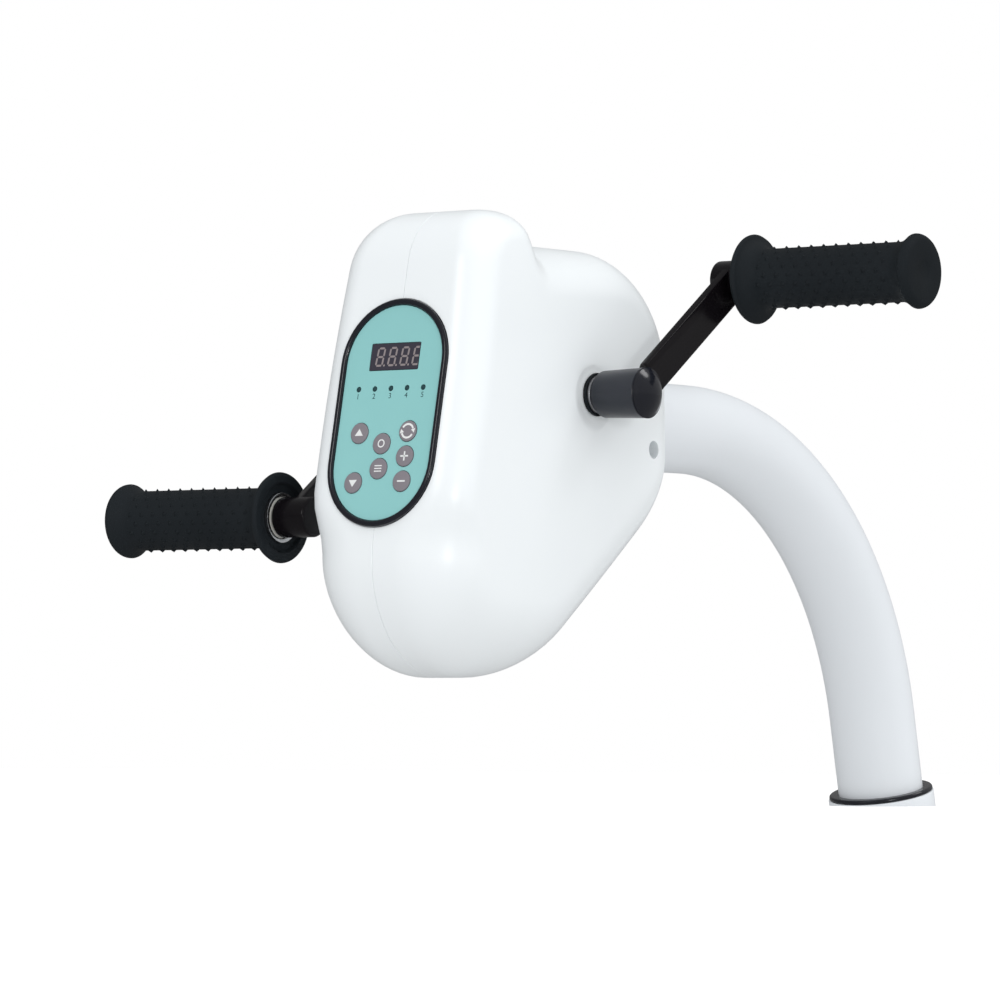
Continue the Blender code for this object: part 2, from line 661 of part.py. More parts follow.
def build_panel(finishes, panel):
    """Tray with its bezel, board, display, indicators, overlay and keys."""
    rim_low = -REBATE + GAP
    body = stadium(*tray_half())
    rim = stadium(PANEL_HALF_WIDTH, PANEL_HALF_HEIGHT)
    rim_top = stadium(PANEL_HALF_WIDTH - BEZEL_EDGE, PANEL_HALF_HEIGHT - BEZEL_EDGE)
    shape = stacked([(body, -TRAY_DEPTH), (body, rim_low), (rim, rim_low),
                     (rim, BEZEL_PROUD - BEZEL_EDGE), (rim_top, BEZEL_PROUD)])
    tray = solid("panel_tray", shape, finishes["black_plastic"], panel)
    overlay_half = (PANEL_HALF_WIDTH - BEZEL_BAND, PANEL_HALF_HEIGHT - BEZEL_BAND)
    overlay_low = OVERLAY_TOP - OVERLAY_THICKNESS
    ledge = overlay_low - GAP
    pocket = stadium(overlay_half[0] - FILM_LEDGE, overlay_half[1] - FILM_LEDGE)
    window = stadium(*overlay_half)
    cavity = stacked([(pocket, -TRAY_DEPTH + TRAY_WALL), (pocket, ledge), (window, ledge),
                      (window, BEZEL_PROUD + PAST)])
    combine(tray, "tray_cavity", cavity, "DIFFERENCE", panel)
    pillars = bmesh.new()
    pillar = rod_profile(-TRAY_DEPTH + TRAY_WALL / 2, BOARD_TOP - BOARD_THICKNESS - GAP, PILLAR_RADIUS)
    for x in (-PILLAR_HALF[0], PILLAR_HALF[0]):
        for y in (-PILLAR_HALF[1], PILLAR_HALF[1]):
            turned(pillar, PEG_FACETS, Matrix.Translation((x, y, 0)), pillars)
    combine(tray, "tray_pillars", pillars, "UNION", panel)

    board = prism(stadium(*BOARD_HALF), BOARD_TOP - BOARD_THICKNESS, BOARD_TOP)
    switches = solid("control_board", board, finishes["green_board"], panel)
    switch = rod_profile(BOARD_TOP - BOARD_THICKNESS / 2, key_low() - KEY_TRAVEL - SWITCH_CLEARANCE, SWITCH_RADIUS)
    bm = bmesh.new()
    for x, y in KEY_PLACES.values():
        turned(switch, PEG_FACETS, Matrix.Translation((x, y, 0)), bm)
    combine(switches, "board_switches", bm, "UNION", panel)

    overlay = prism(stadium(overlay_half[0] - GAP, overlay_half[1] - GAP), overlay_low, OVERLAY_TOP)
    film = solid("panel_overlay", overlay, finishes["teal_film"], panel)
    low, high = overlay_low - PAST, OVERLAY_TOP + PAST
    windows = prism(rounded_box(DISPLAY_HALF[0] + GAP, DISPLAY_HALF[1] + GAP, DISPLAY_CORNER + GAP,
                                DISPLAY_CENTRE, 1), low, high)
    for x, y in KEY_PLACES.values():
        turned(rod_profile(low, high, KEY_RADIUS + GAP), PIN_FACETS, Matrix.Translation((x, y, 0)), windows)
    for x in indicator_places():
        turned(rod_profile(low, high, INDICATOR_RADIUS + GAP), PEG_FACETS,
               Matrix.Translation((x, INDICATOR_ROW, 0)), windows)
    combine(film, "overlay_windows", windows, "DIFFERENCE", panel)

    lens = prism(rounded_box(*DISPLAY_HALF, DISPLAY_CORNER, DISPLAY_CENTRE, 2), overlay_low, OVERLAY_TOP)
    solid("display_lens", lens, finishes["smoked_lens"], panel)
    module = prism(rounded_box(DISPLAY_HALF[0] - GAP, DISPLAY_HALF[1] - GAP, DISPLAY_CORNER,
                               DISPLAY_CENTRE, 1), BOARD_TOP + GAP, overlay_low - GAP)
    solid("display_module", module, finishes["black_plastic"], panel)
    for number, x in enumerate(indicator_places(), 1):
        wide, high = INDICATOR_RADIUS + INDICATOR_BASE[0], BOARD_TOP + INDICATOR_BASE[1]
        profile = [(BOARD_TOP + GAP, 0.0), (BOARD_TOP + GAP, wide), (high, wide), (high, INDICATOR_RADIUS),
                   (OVERLAY_TOP, INDICATOR_RADIUS), (OVERLAY_TOP + GAP, 0.0)]
        bm = turned(profile, PEG_FACETS, Matrix.Translation((x, INDICATOR_ROW, 0)))
        solid(f"indicator_{number}", bm, finishes["smoked_lens"], panel)
    for name, (x, y) in KEY_PLACES.items():
        key_frame = empty(f"{name}_slide", panel, Matrix.Translation((x, y, 0)))
        rim_top = overlay_low - GAP
        top = OVERLAY_TOP + KEY_PROUD
        profile = [(key_low(), 0.0), (key_low(), KEY_RADIUS + KEY_RIM),
                   (rim_top, KEY_RADIUS + KEY_RIM), (rim_top, KEY_RADIUS),
                   (top - KEY_EDGE[1], KEY_RADIUS), (top, KEY_RADIUS - KEY_EDGE[0]), (top, 0.0)]
        solid(name, turned(profile, PIN_FACETS), finishes["grey_key"], key_frame)


def key_low():
    """Underside of a key's rim, in the panel's frame."""
    return OVERLAY_TOP - OVERLAY_THICKNESS - GAP - KEY_RIM_HEIGHT


def indicator_places():
    """The row of indicators, centred on the panel."""
    return [(k - (INDICATOR_COUNT - 1) / 2) * INDICATOR_PITCH for k in range(INDICATOR_COUNT)]


# Column, bush and gooseneck
def foot_cutter():
    """What lies below the level foot."""
    reach = 2 * COLUMN_DIAMETER
    return prism(rounded_box(reach, reach, COLUMN_DIAMETER, steps=1), -reach, 0.0)


def build_neck(finishes, root, head):
    """Outer column stub, its bush, and the bent tube with its end plate."""
    axis = Matrix.Rotation(COLUMN_LEAN, 4, "X")
    below = -COLUMN_DIAMETER * tan(COLUMN_LEAN)
    outer = COLUMN_DIAMETER / 2
    bore = outer - COLUMN_WALL
    column = turned(tube_profile(below, COLUMN_RISE, bore, outer), COLUMN_FACETS, axis)
    combine(solid("column_collar", column, finishes["white_paint"], root), "column_foot",
            foot_cutter(), "DIFFERENCE", root)

    inner = TUBE_DIAMETER / 2 + GAP
    flange = outer - BUSH_OVERHANG
    rim = COLUMN_RISE + GAP
    top = rim + BUSH_FLANGE
    profile = [(below, inner), (below, bore - GAP), (rim, bore - GAP), (rim, flange),
               (top - BUSH_EDGE, flange), (top, flange - BUSH_EDGE), (top, inner)]
    bush = solid("column_bush", turned(profile, COLUMN_FACETS, axis), finishes["black_plastic"], root)
    combine(bush, "bush_foot", foot_cutter(), "DIFFERENCE", root)

    frames, _ = neck_frames()
    bm = bmesh.new()
    around = [2 * pi * k / TUBE_FACETS for k in range(TUBE_FACETS)]

    def circle(frame, radius):
        return [frame @ Vector((radius * cos(a), radius * sin(a), 0)) for a in around]

    radius = TUBE_DIAMETER / 2
    start = first_ring(bm, circle(frames[0], radius))
    ring = start
    for frame in frames[1:]:
        ring = extrude_ring(bm, ring, circle(frame, radius))
    for frame in reversed(frames):
        ring = extrude_ring(bm, ring, circle(frame, radius - TUBE_WALL))
    ends = [bm.edges.get(pair) for loop in (start, ring) for pair in zip(loop, loop[1:] + loop[:1])]
    bmesh.ops.bridge_loops(bm, edges=ends)
    neck = solid("gooseneck_tube", bm, finishes["white_paint"], root)
    combine(neck, "neck_foot", foot_cutter(), "DIFFERENCE", root)

    plate_place = Matrix.Translation((0, tail_end(), -CRANK_RISE)) @ ALONG_Y
    half_x, half_z = NECK_PLATE_HALF
    plate = prism(rounded_box(half_x, half_z, NECK_PLATE_CORNER), 0.0, NECK_PLATE_THICKNESS, plate_place)
    combine(neck, "neck_plate", plate, "UNION", head)
    holes = turned(rod_profile(-PAST, NECK_PLATE_THICKNESS + 2 * PAST, LEAD_HOLE_RADIUS), PIN_FACETS, plate_place)
    for side in (-1, 1):
        spot = Matrix.Translation((side * NECK_BOLT_X, 0, 0))
        turned(rod_profile(-PAST, NECK_PLATE_THICKNESS + PAST, NECK_BOLT_RADIUS + SLIDE_GAP), PIN_FACETS,
               plate_place @ spot, holes)
    combine(neck, "neck_plate_holes", holes, "DIFFERENCE", head)


# Chassis and drive
def ear_outline(side):
    """A side plate from the web to the bearing cup, and on the left to the gearbox."""
    cup = BEARING_RADIUS + CUP_WALL + EAR_MARGIN
    half_z = NECK_PLATE_HALF[1] - EAR_FOOT
    end = WEB_Y + WEB_THICKNESS / 2

    def arc(first, last, steps=3):
        """Points round the bearing cup, between two angles in degrees."""
        angles = [radians(first + (last - first) * k / steps) for k in range(steps + 1)]
        return [(cup * cos(a), cup * sin(a)) for a in angles]

    outline = [(end, -CRANK_RISE - half_z), (end, -CRANK_RISE + half_z)] + arc(70, 196, 6)
    if side > 0:
        return outline + arc(214, 290)
    front = MOTOR_SHAFT_Y - GEARBOX_DEPTH / 2
    back = MOTOR_SHAFT_Y + GEARBOX_DEPTH / 2
    low = MOTOR_SHAFT_Z - GEARBOX_HEIGHT / 2
    high = MOTOR_SHAFT_Z + GEARBOX_HEIGHT / 2
    return outline + [(front, high), (front, low), (back, low), (back + NECK_PLATE_CORNER, high)]


def in_yz(low=0.0):
    """Places a prism whose outline is (y, z), so that it is extruded along +X."""
    return Matrix.Translation((low, 0, 0)) @ Matrix(((0, 0, 1, 0), (1, 0, 0, 0), (0, 1, 0, 0), (0, 0, 0, 1)))


def build_chassis(finishes, head):
    """The welded frame: web, two ears and two bearing cups."""
    half_z = NECK_PLATE_HALF[1]
    ear_out = EAR_X + EAR_THICKNESS
    web_place = Matrix.Translation((0, WEB_Y, -CRANK_RISE)) @ ALONG_Y
    web = prism(rounded_box(ear_out - WEB_INSET, half_z, EAR_FOOT, steps=1), 0.0, WEB_THICKNESS, web_place)
    chassis = solid("chassis_frame", web, finishes["black_paint"], head)
    cup_start = BEARING_START - CUP_BACK
    cup_end = BEARING_START + BEARING_LENGTH + CUP_LIP
    for side, name in ((1, "right"), (-1, "left")):
        low = EAR_X if side > 0 else -ear_out
        ear = prism(ear_outline(side), 0.0, EAR_THICKNESS, in_yz(low))
        combine(chassis, f"chassis_ear_{name}", ear, "UNION", head)
        cup = turned(rod_profile(cup_start, cup_end, BEARING_RADIUS + GAP + CUP_WALL), HUB_FACETS,
                     sideways(side, 0, 0))
        combine(chassis, f"chassis_cup_{name}", cup, "UNION", head)
        shoulder = BEARING_RADIUS - BEARING_SHOULDER
        bore = [(cup_start - PAST, 0.0), (cup_start - PAST, shoulder), (BEARING_START - GAP, shoulder),
                (BEARING_START - GAP, BEARING_RADIUS + GAP), (cup_end + PAST, BEARING_RADIUS + GAP),
                (cup_end + PAST, 0.0)]
        holes = turned(bore, HUB_FACETS, sideways(side, 0, 0))
        turned(rod_profile(EAR_X - PAST, ear_out + PAST, SCREW_RADIUS + GAP), SCREW_FACETS,
               sideways(side, *REAR_SCREW), holes)
        turned(rod_profile(-PAST, WEB_THICKNESS + PAST, NECK_BOLT_RADIUS + SLIDE_GAP), PIN_FACETS,
               web_place @ Matrix.Translation((side * NECK_BOLT_X, 0, 0)), holes)
        combine(chassis, f"chassis_holes_{name}", holes, "DIFFERENCE", head)
        ring = tube_profile(BEARING_START, BEARING_START + BEARING_LENGTH, AXLE_RADIUS + GAP,
                            BEARING_RADIUS)
        solid(f"bearing_{name}", turned(ring, HUB_FACETS, sideways(side, 0, 0)), finishes["bearing_steel"], head)
        tip = NECK_BOLT_HEAD + WEB_THICKNESS + NECK_PLATE_THICKNESS + NECK_BOLT_TAIL
        bolt = [(0.0, 0.0), (0.0, NECK_BOLT_HEAD_RADIUS), (NECK_BOLT_HEAD, NECK_BOLT_HEAD_RADIUS),
                (NECK_BOLT_HEAD, NECK_BOLT_RADIUS), (tip, NECK_BOLT_RADIUS), (tip, 0.0)]
        place = Matrix.Translation((side * NECK_BOLT_X, WEB_Y - GAP - NECK_BOLT_HEAD, -CRANK_RISE)) @ ALONG_Y
        solid(f"neck_bolt_{name}", turned(bolt, SCREW_FACETS, place), finishes["bright_steel"], head)
    opening = turned(rod_profile(-PAST, WEB_THICKNESS + PAST, LEAD_HOLE_RADIUS), PIN_FACETS, web_place)
    combine(chassis, "chassis_lead_hole", opening, "DIFFERENCE", head)


def grooved_rim(radius):
    """A pulley rim's section with its belt grooves."""
    pitch = (PULLEY_WIDTH - 2 * RIM_LAND) / GROOVES
    points = [(0.0, radius)]
    for k in range(GROOVES):
        low = RIM_LAND + k * pitch
        points += [(low, radius), (low + pitch / 2, radius - GROOVE_DEPTH)]
    return points + [(PULLEY_WIDTH - RIM_LAND, radius), (PULLEY_WIDTH, radius)]


def build_drive(finishes, head, crank, drive):
    """Axle, pulleys, belt, gearbox and motor."""
    axle = rod_profile(-AXLE_HALF, AXLE_HALF, AXLE_RADIUS, PIN_CHAMFER)
    shaft = solid("crank_axle", turned(axle, HUB_FACETS, ALONG_X), finishes["bright_steel"], crank)
    bores = bmesh.new()
    for side in (1, -1):
        turned(rod_profile(AXLE_HALF - BOLT_SHANK_LENGTH - PAST, AXLE_HALF + PAST,
                           BOLT_SHANK_RADIUS + GAP), PIN_FACETS, sideways(side, 0, 0), bores)
    combine(shaft, "axle_bolt_holes", bores, "DIFFERENCE", crank)
    bore, hub, inside = AXLE_RADIUS + GAP, PULLEY_HUB_RADIUS, CRANK_PULLEY_RADIUS - PULLEY_RIM
    web_low, web_high = PULLEY_WEB
    profile = [(0.0, bore), (0.0, hub), (web_low, hub), (web_low, inside), (0.0, inside)]
    profile += grooved_rim(CRANK_PULLEY_RADIUS)
    profile += [(PULLEY_WIDTH, inside), (web_high, inside), (web_high, hub), (PULLEY_HUB_LENGTH, hub),
                (PULLEY_HUB_LENGTH, bore)]
    pulley_place = Matrix.Translation((PULLEY_X, 0, 0)) @ ALONG_X
    solid("crank_pulley", turned(profile, PULLEY_FACETS, pulley_place), finishes["cast_alloy"], crank)

    centre = (MOTOR_SHAFT_Y, MOTOR_SHAFT_Z)
    small = DRIVE_PULLEY_RADIUS
    bore = SHAFT_RADIUS + GAP
    profile = [(0.0, bore)] + grooved_rim(small) + [(PULLEY_WIDTH, bore)]
    solid("drive_pulley", turned(profile, HUB_FACETS, pulley_place), finishes["cast_alloy"], drive)
    rod = rod_profile(GEARBOX_END - SHAFT_DEPTH, PULLEY_X + PULLEY_WIDTH + PAST, SHAFT_RADIUS, PIN_CHAMFER)
    solid("output_shaft", turned(rod, HUB_FACETS, ALONG_X), finishes["bright_steel"], drive)

    low = PULLEY_X + BELT_MARGIN
    width = PULLEY_WIDTH - 2 * BELT_MARGIN
    outside = tangent_outline([(0, 0, CRANK_PULLEY_RADIUS + GAP + BELT_THICKNESS),
                               (*centre, small + GAP + BELT_THICKNESS)], clear=True)
    inside = tangent_outline([(0, 0, CRANK_PULLEY_RADIUS + GAP), (*centre, small + GAP)], clear=True)
    belt = solid("drive_belt", prism(outside, 0.0, width, in_yz(low)), finishes["black_rubber"], head)
    combine(belt, "belt_inside", prism(inside, -PAST, width + PAST, in_yz(low)), "DIFFERENCE", head)

    ear = -EAR_X + GAP
    block = prism(rounded_box(GEARBOX_DEPTH / 2, GEARBOX_HEIGHT / 2, GEARBOX_CORNER, centre), 0.0,
                  GEARBOX_END - ear, in_yz(ear))
    gearbox = solid("gearbox", block, finishes["cast_alloy"], head)
    shaft_hole = rod_profile(GEARBOX_END - SHAFT_DEPTH - PAST, GEARBOX_END + PAST, SHAFT_RADIUS + GAP)
    combine(gearbox, "gearbox_shaft_hole", turned(shaft_hole, HUB_FACETS, sideways(1, *centre)),
            "DIFFERENCE", head)
    front = MOTOR_SHAFT_Y - GEARBOX_DEPTH / 2 - GAP
    middle = (GEARBOX_END + ear) / 2
    flange, step = MOTOR_FLANGE
    boss, height = MOTOR_BOSS
    can = [(0.0, 0.0), (0.0, MOTOR_RADIUS), (flange, MOTOR_RADIUS), (flange, MOTOR_RADIUS - step),
           (MOTOR_LENGTH, MOTOR_RADIUS - step), (MOTOR_LENGTH, boss), (MOTOR_LENGTH + height, boss - step),
           (MOTOR_LENGTH + height, 0.0)]
    place = Matrix.Translation((middle, front, MOTOR_SHAFT_Z)) @ Matrix.Rotation(pi / 2, 4, "X")
    solid("drive_motor", turned(can, HUB_FACETS, place), finishes["motor_steel"], head)


# Cranks and grips
def build_crank(side, finishes, frame):
    """One crank arm with its fasteners and spindle, along +X and +Y of its frame."""
    neck = HUB_RADIUS - HUB_STEP
    hub = [(HUB_START, AXLE_RADIUS + GAP), (HUB_START, neck), (HUB_START + HUB_STEP / 2, neck),
           (HUB_START + HUB_STEP, HUB_RADIUS - HUB_STEP / 3), (HUB_END, HUB_RADIUS),
           (HUB_END, AXLE_RADIUS + GAP)]
    arm = solid(f"crank_arm_{side}", turned(hub, HUB_FACETS, ALONG_X), finishes["black_paint"], frame)
    half = ARM_WIDTH / 2
    start = AXLE_RADIUS + HUB_STEP
    shoulder, end = ARM_LENGTH - BOSS_RADIUS * 0.55, ARM_LENGTH - BOSS_RADIUS * 0.2
    bar = [(start, -half), (shoulder, -half), (end, -half * 0.72), (end, half * 0.72), (shoulder, half),
           (start, half)]
    combine(arm, f"arm_bar_{side}", prism(bar, 0.0, ARM_THICKNESS, in_yz(ARM_X)), "UNION", frame)
    tip = Matrix.Translation((0, ARM_LENGTH, 0)) @ ALONG_X
    boss = [(BOSS_START, 0.0), (BOSS_START, BOSS_RADIUS - BOSS_CHAMFER),
            (BOSS_START + BOSS_CHAMFER, BOSS_RADIUS), (BOSS_END, BOSS_RADIUS), (BOSS_END, 0.0)]
    combine(arm, f"arm_boss_{side}", turned(boss, GRIP_FACETS, tip), "UNION", frame)
    floor = BOSS_START + BOSS_FLOOR
    hole = turned(rod_profile(floor, BOSS_END + PAST, SPINDLE_RADIUS + GAP), GRIP_FACETS, tip)
    combine(arm, f"arm_spindle_hole_{side}", hole, "DIFFERENCE", frame)

    seal = tube_profile(SEAL_START, SEAL_START + SEAL_LENGTH, AXLE_RADIUS + GAP, SEAL_RADIUS)
    solid(f"hub_seal_{side}", turned(seal, HUB_FACETS, ALONG_X), finishes["black_rubber"], frame)
    head = AXLE_HALF + GAP
    bolt = [(AXLE_HALF - BOLT_SHANK_LENGTH, 0.0), (AXLE_HALF - BOLT_SHANK_LENGTH, BOLT_SHANK_RADIUS),
            (head, BOLT_SHANK_RADIUS), (head, BOLT_HEAD_RADIUS),
            (head + BOLT_HEAD_HEIGHT, BOLT_HEAD_RADIUS), (head + BOLT_HEAD_HEIGHT, 0.0)]
    solid(f"crank_bolt_{side}", turned(bolt, PIN_FACETS, ALONG_X), finishes["bright_steel"], frame)
    seat = HUB_END + GAP
    plug = head + BOLT_HEAD_HEIGHT + GAP
    radius = HUB_RADIUS + CAP_OVERHANG
    bulge = (radius ** 2 + CAP_DOME ** 2) / (2 * CAP_DOME)
    widest = asin(radius / bulge)
    dome = [(seat + CAP_DOME - bulge + bulge * cos(widest * k / 4), bulge * sin(widest * k / 4))
            for k in range(4, 0, -1)]
    cap = [(plug, 0.0), (plug, AXLE_RADIUS - GAP), (seat, AXLE_RADIUS - GAP), (seat, radius - 2 * GAP)]
    cap += [(seat + GAP, radius)] + dome[1:] + [(seat + CAP_DOME, 0.0)]
    solid(f"hub_cap_{side}", turned(cap, HUB_FACETS, ALONG_X), finishes["black_plastic"], frame)


def build_grip(side, finishes, crank_frame, grip_frame):
    """One grip that spins: spindle and nut on the crank, sleeve, bushes and rubber on the grip."""
    tip = Matrix.Translation((0, ARM_LENGTH, 0)) @ ALONG_X
    sleeve_end = GRIP_END - GRIP_END_WALL - GAP
    spindle_end = sleeve_end - SPINDLE_SETBACK
    spindle = rod_profile(BOSS_START + BOSS_FLOOR + GAP, spindle_end, SPINDLE_RADIUS, PIN_CHAMFER)
    solid(f"grip_spindle_{side}", turned(spindle, GRIP_FACETS, tip), finishes["bright_steel"], crank_frame)
    nut_high = spindle_end - NUT_SETBACK
    nut = tube_profile(nut_high - NUT_HEIGHT, nut_high, SPINDLE_RADIUS + GAP, NUT_RADIUS)
    solid(f"spindle_nut_{side}", turned(nut, 2 * PEG_FACETS, tip), finishes["bright_steel"], crank_frame)

    bore = SLEEVE_RADIUS - SLEEVE_WALL
    sleeve = tube_profile(SLEEVE_START, sleeve_end, bore, SLEEVE_RADIUS)
    solid(f"grip_sleeve_{side}", turned(sleeve, GRIP_FACETS, ALONG_X), finishes["bright_steel"], grip_frame)
    outer_start = nut_high - NUT_HEIGHT - GAP - BUSH_LENGTH
    for name, start in (("inner", SLEEVE_START + BUSH_SETBACK), ("outer", outer_start)):
        ring = tube_profile(start, start + BUSH_LENGTH, SPINDLE_RADIUS + GAP, bore - GAP)
        solid(f"grip_bush_{name}_{side}", turned(ring, GRIP_FACETS, ALONG_X), finishes["nylon"], grip_frame)

    inside = SLEEVE_RADIUS + GAP
    profile = [(sleeve_end + GAP, 0.0), (sleeve_end + GAP, inside),
               (GRIP_START + GRIP_RECESS_DEPTH, inside)] + grip_flange()
    flange_end, flare = GRIP_START + GRIP_FLANGE_THICKNESS, GRIP_END - GRIP_FLARE
    first, last = flange_end + RIB_MARGIN, flare - RIB_MARGIN / 2
    pitch = (last - first) / (RIB_COUNT - 1)
    for k in range(RIB_COUNT):
        crest = first + k * pitch
        profile += [(crest - pitch * RIB_VALLEY, GRIP_RADIUS), (crest, GRIP_RADIUS + RIB_HEIGHT)]
    profile += [(flare + GRIP_FLARE * along, GRIP_RADIUS + (GRIP_END_RADIUS - GRIP_RADIUS) * out)
                for along, out in FLARE_SHAPE]
    solid(f"grip_{side}", turned(profile + [(GRIP_END, 0.0)], GRIP_FACETS, ALONG_X),
          finishes["black_rubber"], grip_frame)


def grip_flange():
    """The inner flange's section, from its recess to the barrel."""
    floor = GRIP_START + GRIP_RECESS_DEPTH
    run = GRIP_FLANGE_THICKNESS
    fall = GRIP_FLANGE_RADIUS - GRIP_RADIUS
    return [(floor, GRIP_RECESS_RADIUS - FLANGE_EDGE), (GRIP_START, GRIP_RECESS_RADIUS)] + [
        (GRIP_START + run * along, GRIP_FLANGE_RADIUS - fall * drop) for along, drop in FLANGE_SHAPE]


# Screws
def build_screws(finishes, head):
    """Housing screws: one at each side behind, four from the left to the right shell."""
    seat = REAR_SEAT + REAR_SEAT_DEPTH + GAP
    tip = EAR_X - 2 * PAST
    for name, side in (("right", 1), ("left", -1)):
        profile = screw_profile(seat, tip)
        bm = turned(profile, SCREW_FACETS, sideways(side, *REAR_SCREW))
        solid(f"rear_screw_{name}", bm, finishes["bright_steel"], head)
    for number, spot in enumerate(JOIN_SCREWS, 1):
        profile = screw_profile(JOIN_SCREW_HEAD_X + GAP, -JOIN_SCREW_BITE)
        bm = turned(profile, SCREW_FACETS, sideways(-1, *spot))
        solid(f"join_screw_{number}", bm, finishes["bright_steel"], head)


def screw_profile(seat, tip):
    """A pan head screw from its tip to its head, which sits at the seat."""
    top = seat + SCREW_HEAD_HEIGHT
    return [(tip, 0.0), (tip + SCREW_RADIUS, SCREW_RADIUS), (seat, SCREW_RADIUS), (seat, SCREW_HEAD_RADIUS),
            ((seat + top) / 2, SCREW_HEAD_RADIUS), (top, SCREW_HEAD_RADIUS * 0.6), (top, 0.0)]


def main():
    for old in list(bpy.data.objects):
        bpy.data.objects.remove(old, do_unlink=True)
    finishes = make_materials()
    _, bend_end = neck_frames()
    root = empty("column_foot_frame")
    head = empty("head_frame", root, Matrix.Translation(
        (0, bend_end.x - BEND_TO_CRANK, bend_end.y + CRANK_RISE)))
    lean = atan(FACE_SLOPE)
    panel = empty("panel_frame", head, Matrix.Translation((0, FACE_Y, FACE_Z))
                  @ Matrix.Rotation(pi / 2 - lean, 4, "X"))
    crank = empty("crank_frame", head, Matrix.Rotation(ARM_ANGLE, 4, "X"))
    drive = empty("drive_frame", head, Matrix.Translation((0, MOTOR_SHAFT_Y, MOTOR_SHAFT_Z)))
    build_neck(finishes, root, head)
    build_chassis(finishes, head)
    build_drive(finishes, head, crank, drive)
    build_housing(finishes["white_shell"], head, panel)
    build_screws(finishes, head)
    build_panel(finishes, panel)
    for side, turn in (("right", 0.0), ("left", pi)):
        arm = empty(f"{side}_crank_frame", crank, Matrix.Rotation(turn, 4, "Z"))
        grip = empty(f"{side}_grip_frame", arm, Matrix.Translation((0, ARM_LENGTH, 0)))
        build_crank(side, finishes, arm)
        build_grip(side, finishes, arm, grip)


if __name__ == "__main__":
    main()
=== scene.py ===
"""Looks of the hand crank head of an electric pedal exerciser, on its gooseneck.

Metres, +Z up. The control panel faces -Y and the right crank is at +X. The
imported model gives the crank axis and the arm's angle, and each piece made here
lies where its solid lies.
"""

import json
import logging
from collections.abc import Callable, Iterable
from dataclasses import dataclass
from enum import Enum
from math import acos, asin, atan, atan2, ceil, cos, pi, radians, sin, tan

import bmesh
import bpy
from mathutils import Matrix, Vector

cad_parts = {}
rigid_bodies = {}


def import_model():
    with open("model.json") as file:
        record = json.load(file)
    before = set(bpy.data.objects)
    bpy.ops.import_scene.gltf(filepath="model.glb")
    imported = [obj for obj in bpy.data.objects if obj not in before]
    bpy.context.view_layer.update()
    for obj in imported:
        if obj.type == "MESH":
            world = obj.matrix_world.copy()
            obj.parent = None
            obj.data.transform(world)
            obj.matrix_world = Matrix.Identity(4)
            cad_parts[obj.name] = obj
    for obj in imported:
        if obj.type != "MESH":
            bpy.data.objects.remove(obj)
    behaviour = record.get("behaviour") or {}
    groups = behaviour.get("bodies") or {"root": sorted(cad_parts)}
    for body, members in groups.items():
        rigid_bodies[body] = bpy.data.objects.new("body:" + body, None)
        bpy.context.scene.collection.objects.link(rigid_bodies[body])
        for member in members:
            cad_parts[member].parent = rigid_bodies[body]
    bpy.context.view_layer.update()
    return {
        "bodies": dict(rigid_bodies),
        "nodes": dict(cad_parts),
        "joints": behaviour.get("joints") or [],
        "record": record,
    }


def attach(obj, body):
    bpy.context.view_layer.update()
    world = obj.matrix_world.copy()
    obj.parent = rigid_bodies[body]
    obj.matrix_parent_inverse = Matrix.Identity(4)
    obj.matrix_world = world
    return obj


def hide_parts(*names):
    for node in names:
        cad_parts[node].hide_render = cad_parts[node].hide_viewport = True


LOG = logging.getLogger("crank_head")

GAP = 0.0003  # between pieces that touch
REACH = 0.002  # how far a cutter goes past what it cuts
WELD = 1e-6  # points this close are one
TUBE_RADIUS = 0.0254  # of the gooseneck
TUBE_DROP = 0.0115  # from the crank axis down to the axis of the gooseneck's level end

ALONG_X = Matrix.Rotation(pi / 2, 4, "Y")
ALONG_Y = Matrix.Rotation(-pi / 2, 4, "X")
ACROSS = Matrix(((0, 0, 1, 0), (1, 0, 0, 0), (0, 1, 0, 0), (0, 0, 0, 1)))  # x, y drawn in the Y-Z plane

Outline = list[tuple[float, float]]
Steps = tuple[tuple[float, float], ...]
Places = list[Vector]


class Side(Enum):
    """A side of the machine, as the sign of its X."""

    RIGHT = 1
    LEFT = -1

    @property
    def word(self) -> str:
        """The side's name."""
        return self.name.lower()

    @property
    def turn(self) -> float:
        """How far the crank on this side is turned about the upright axis."""
        return 0.0 if self is Side.RIGHT else pi


class Grain(Enum):
    """The fine relief of a surface."""

    PEEL = "peel"  # the soft waviness of paint or glossy mouldings
    STIPPLE = "stipple"  # the fine dots of textured mouldings and rubber
    BRUSHED = "brushed"  # the turning marks of machined metal


# Finishes
CLOUD_EDGES = (0.36, 0.64)  # the noise at which a finish shows its pure colour and its pure tint
SMEAR_EDGES = (0.3, 0.7)  # the noise at which it has its first and its second roughness
BRUSHING = (1.0, 0.06, 0.06)  # turning marks are fine along X and long round it


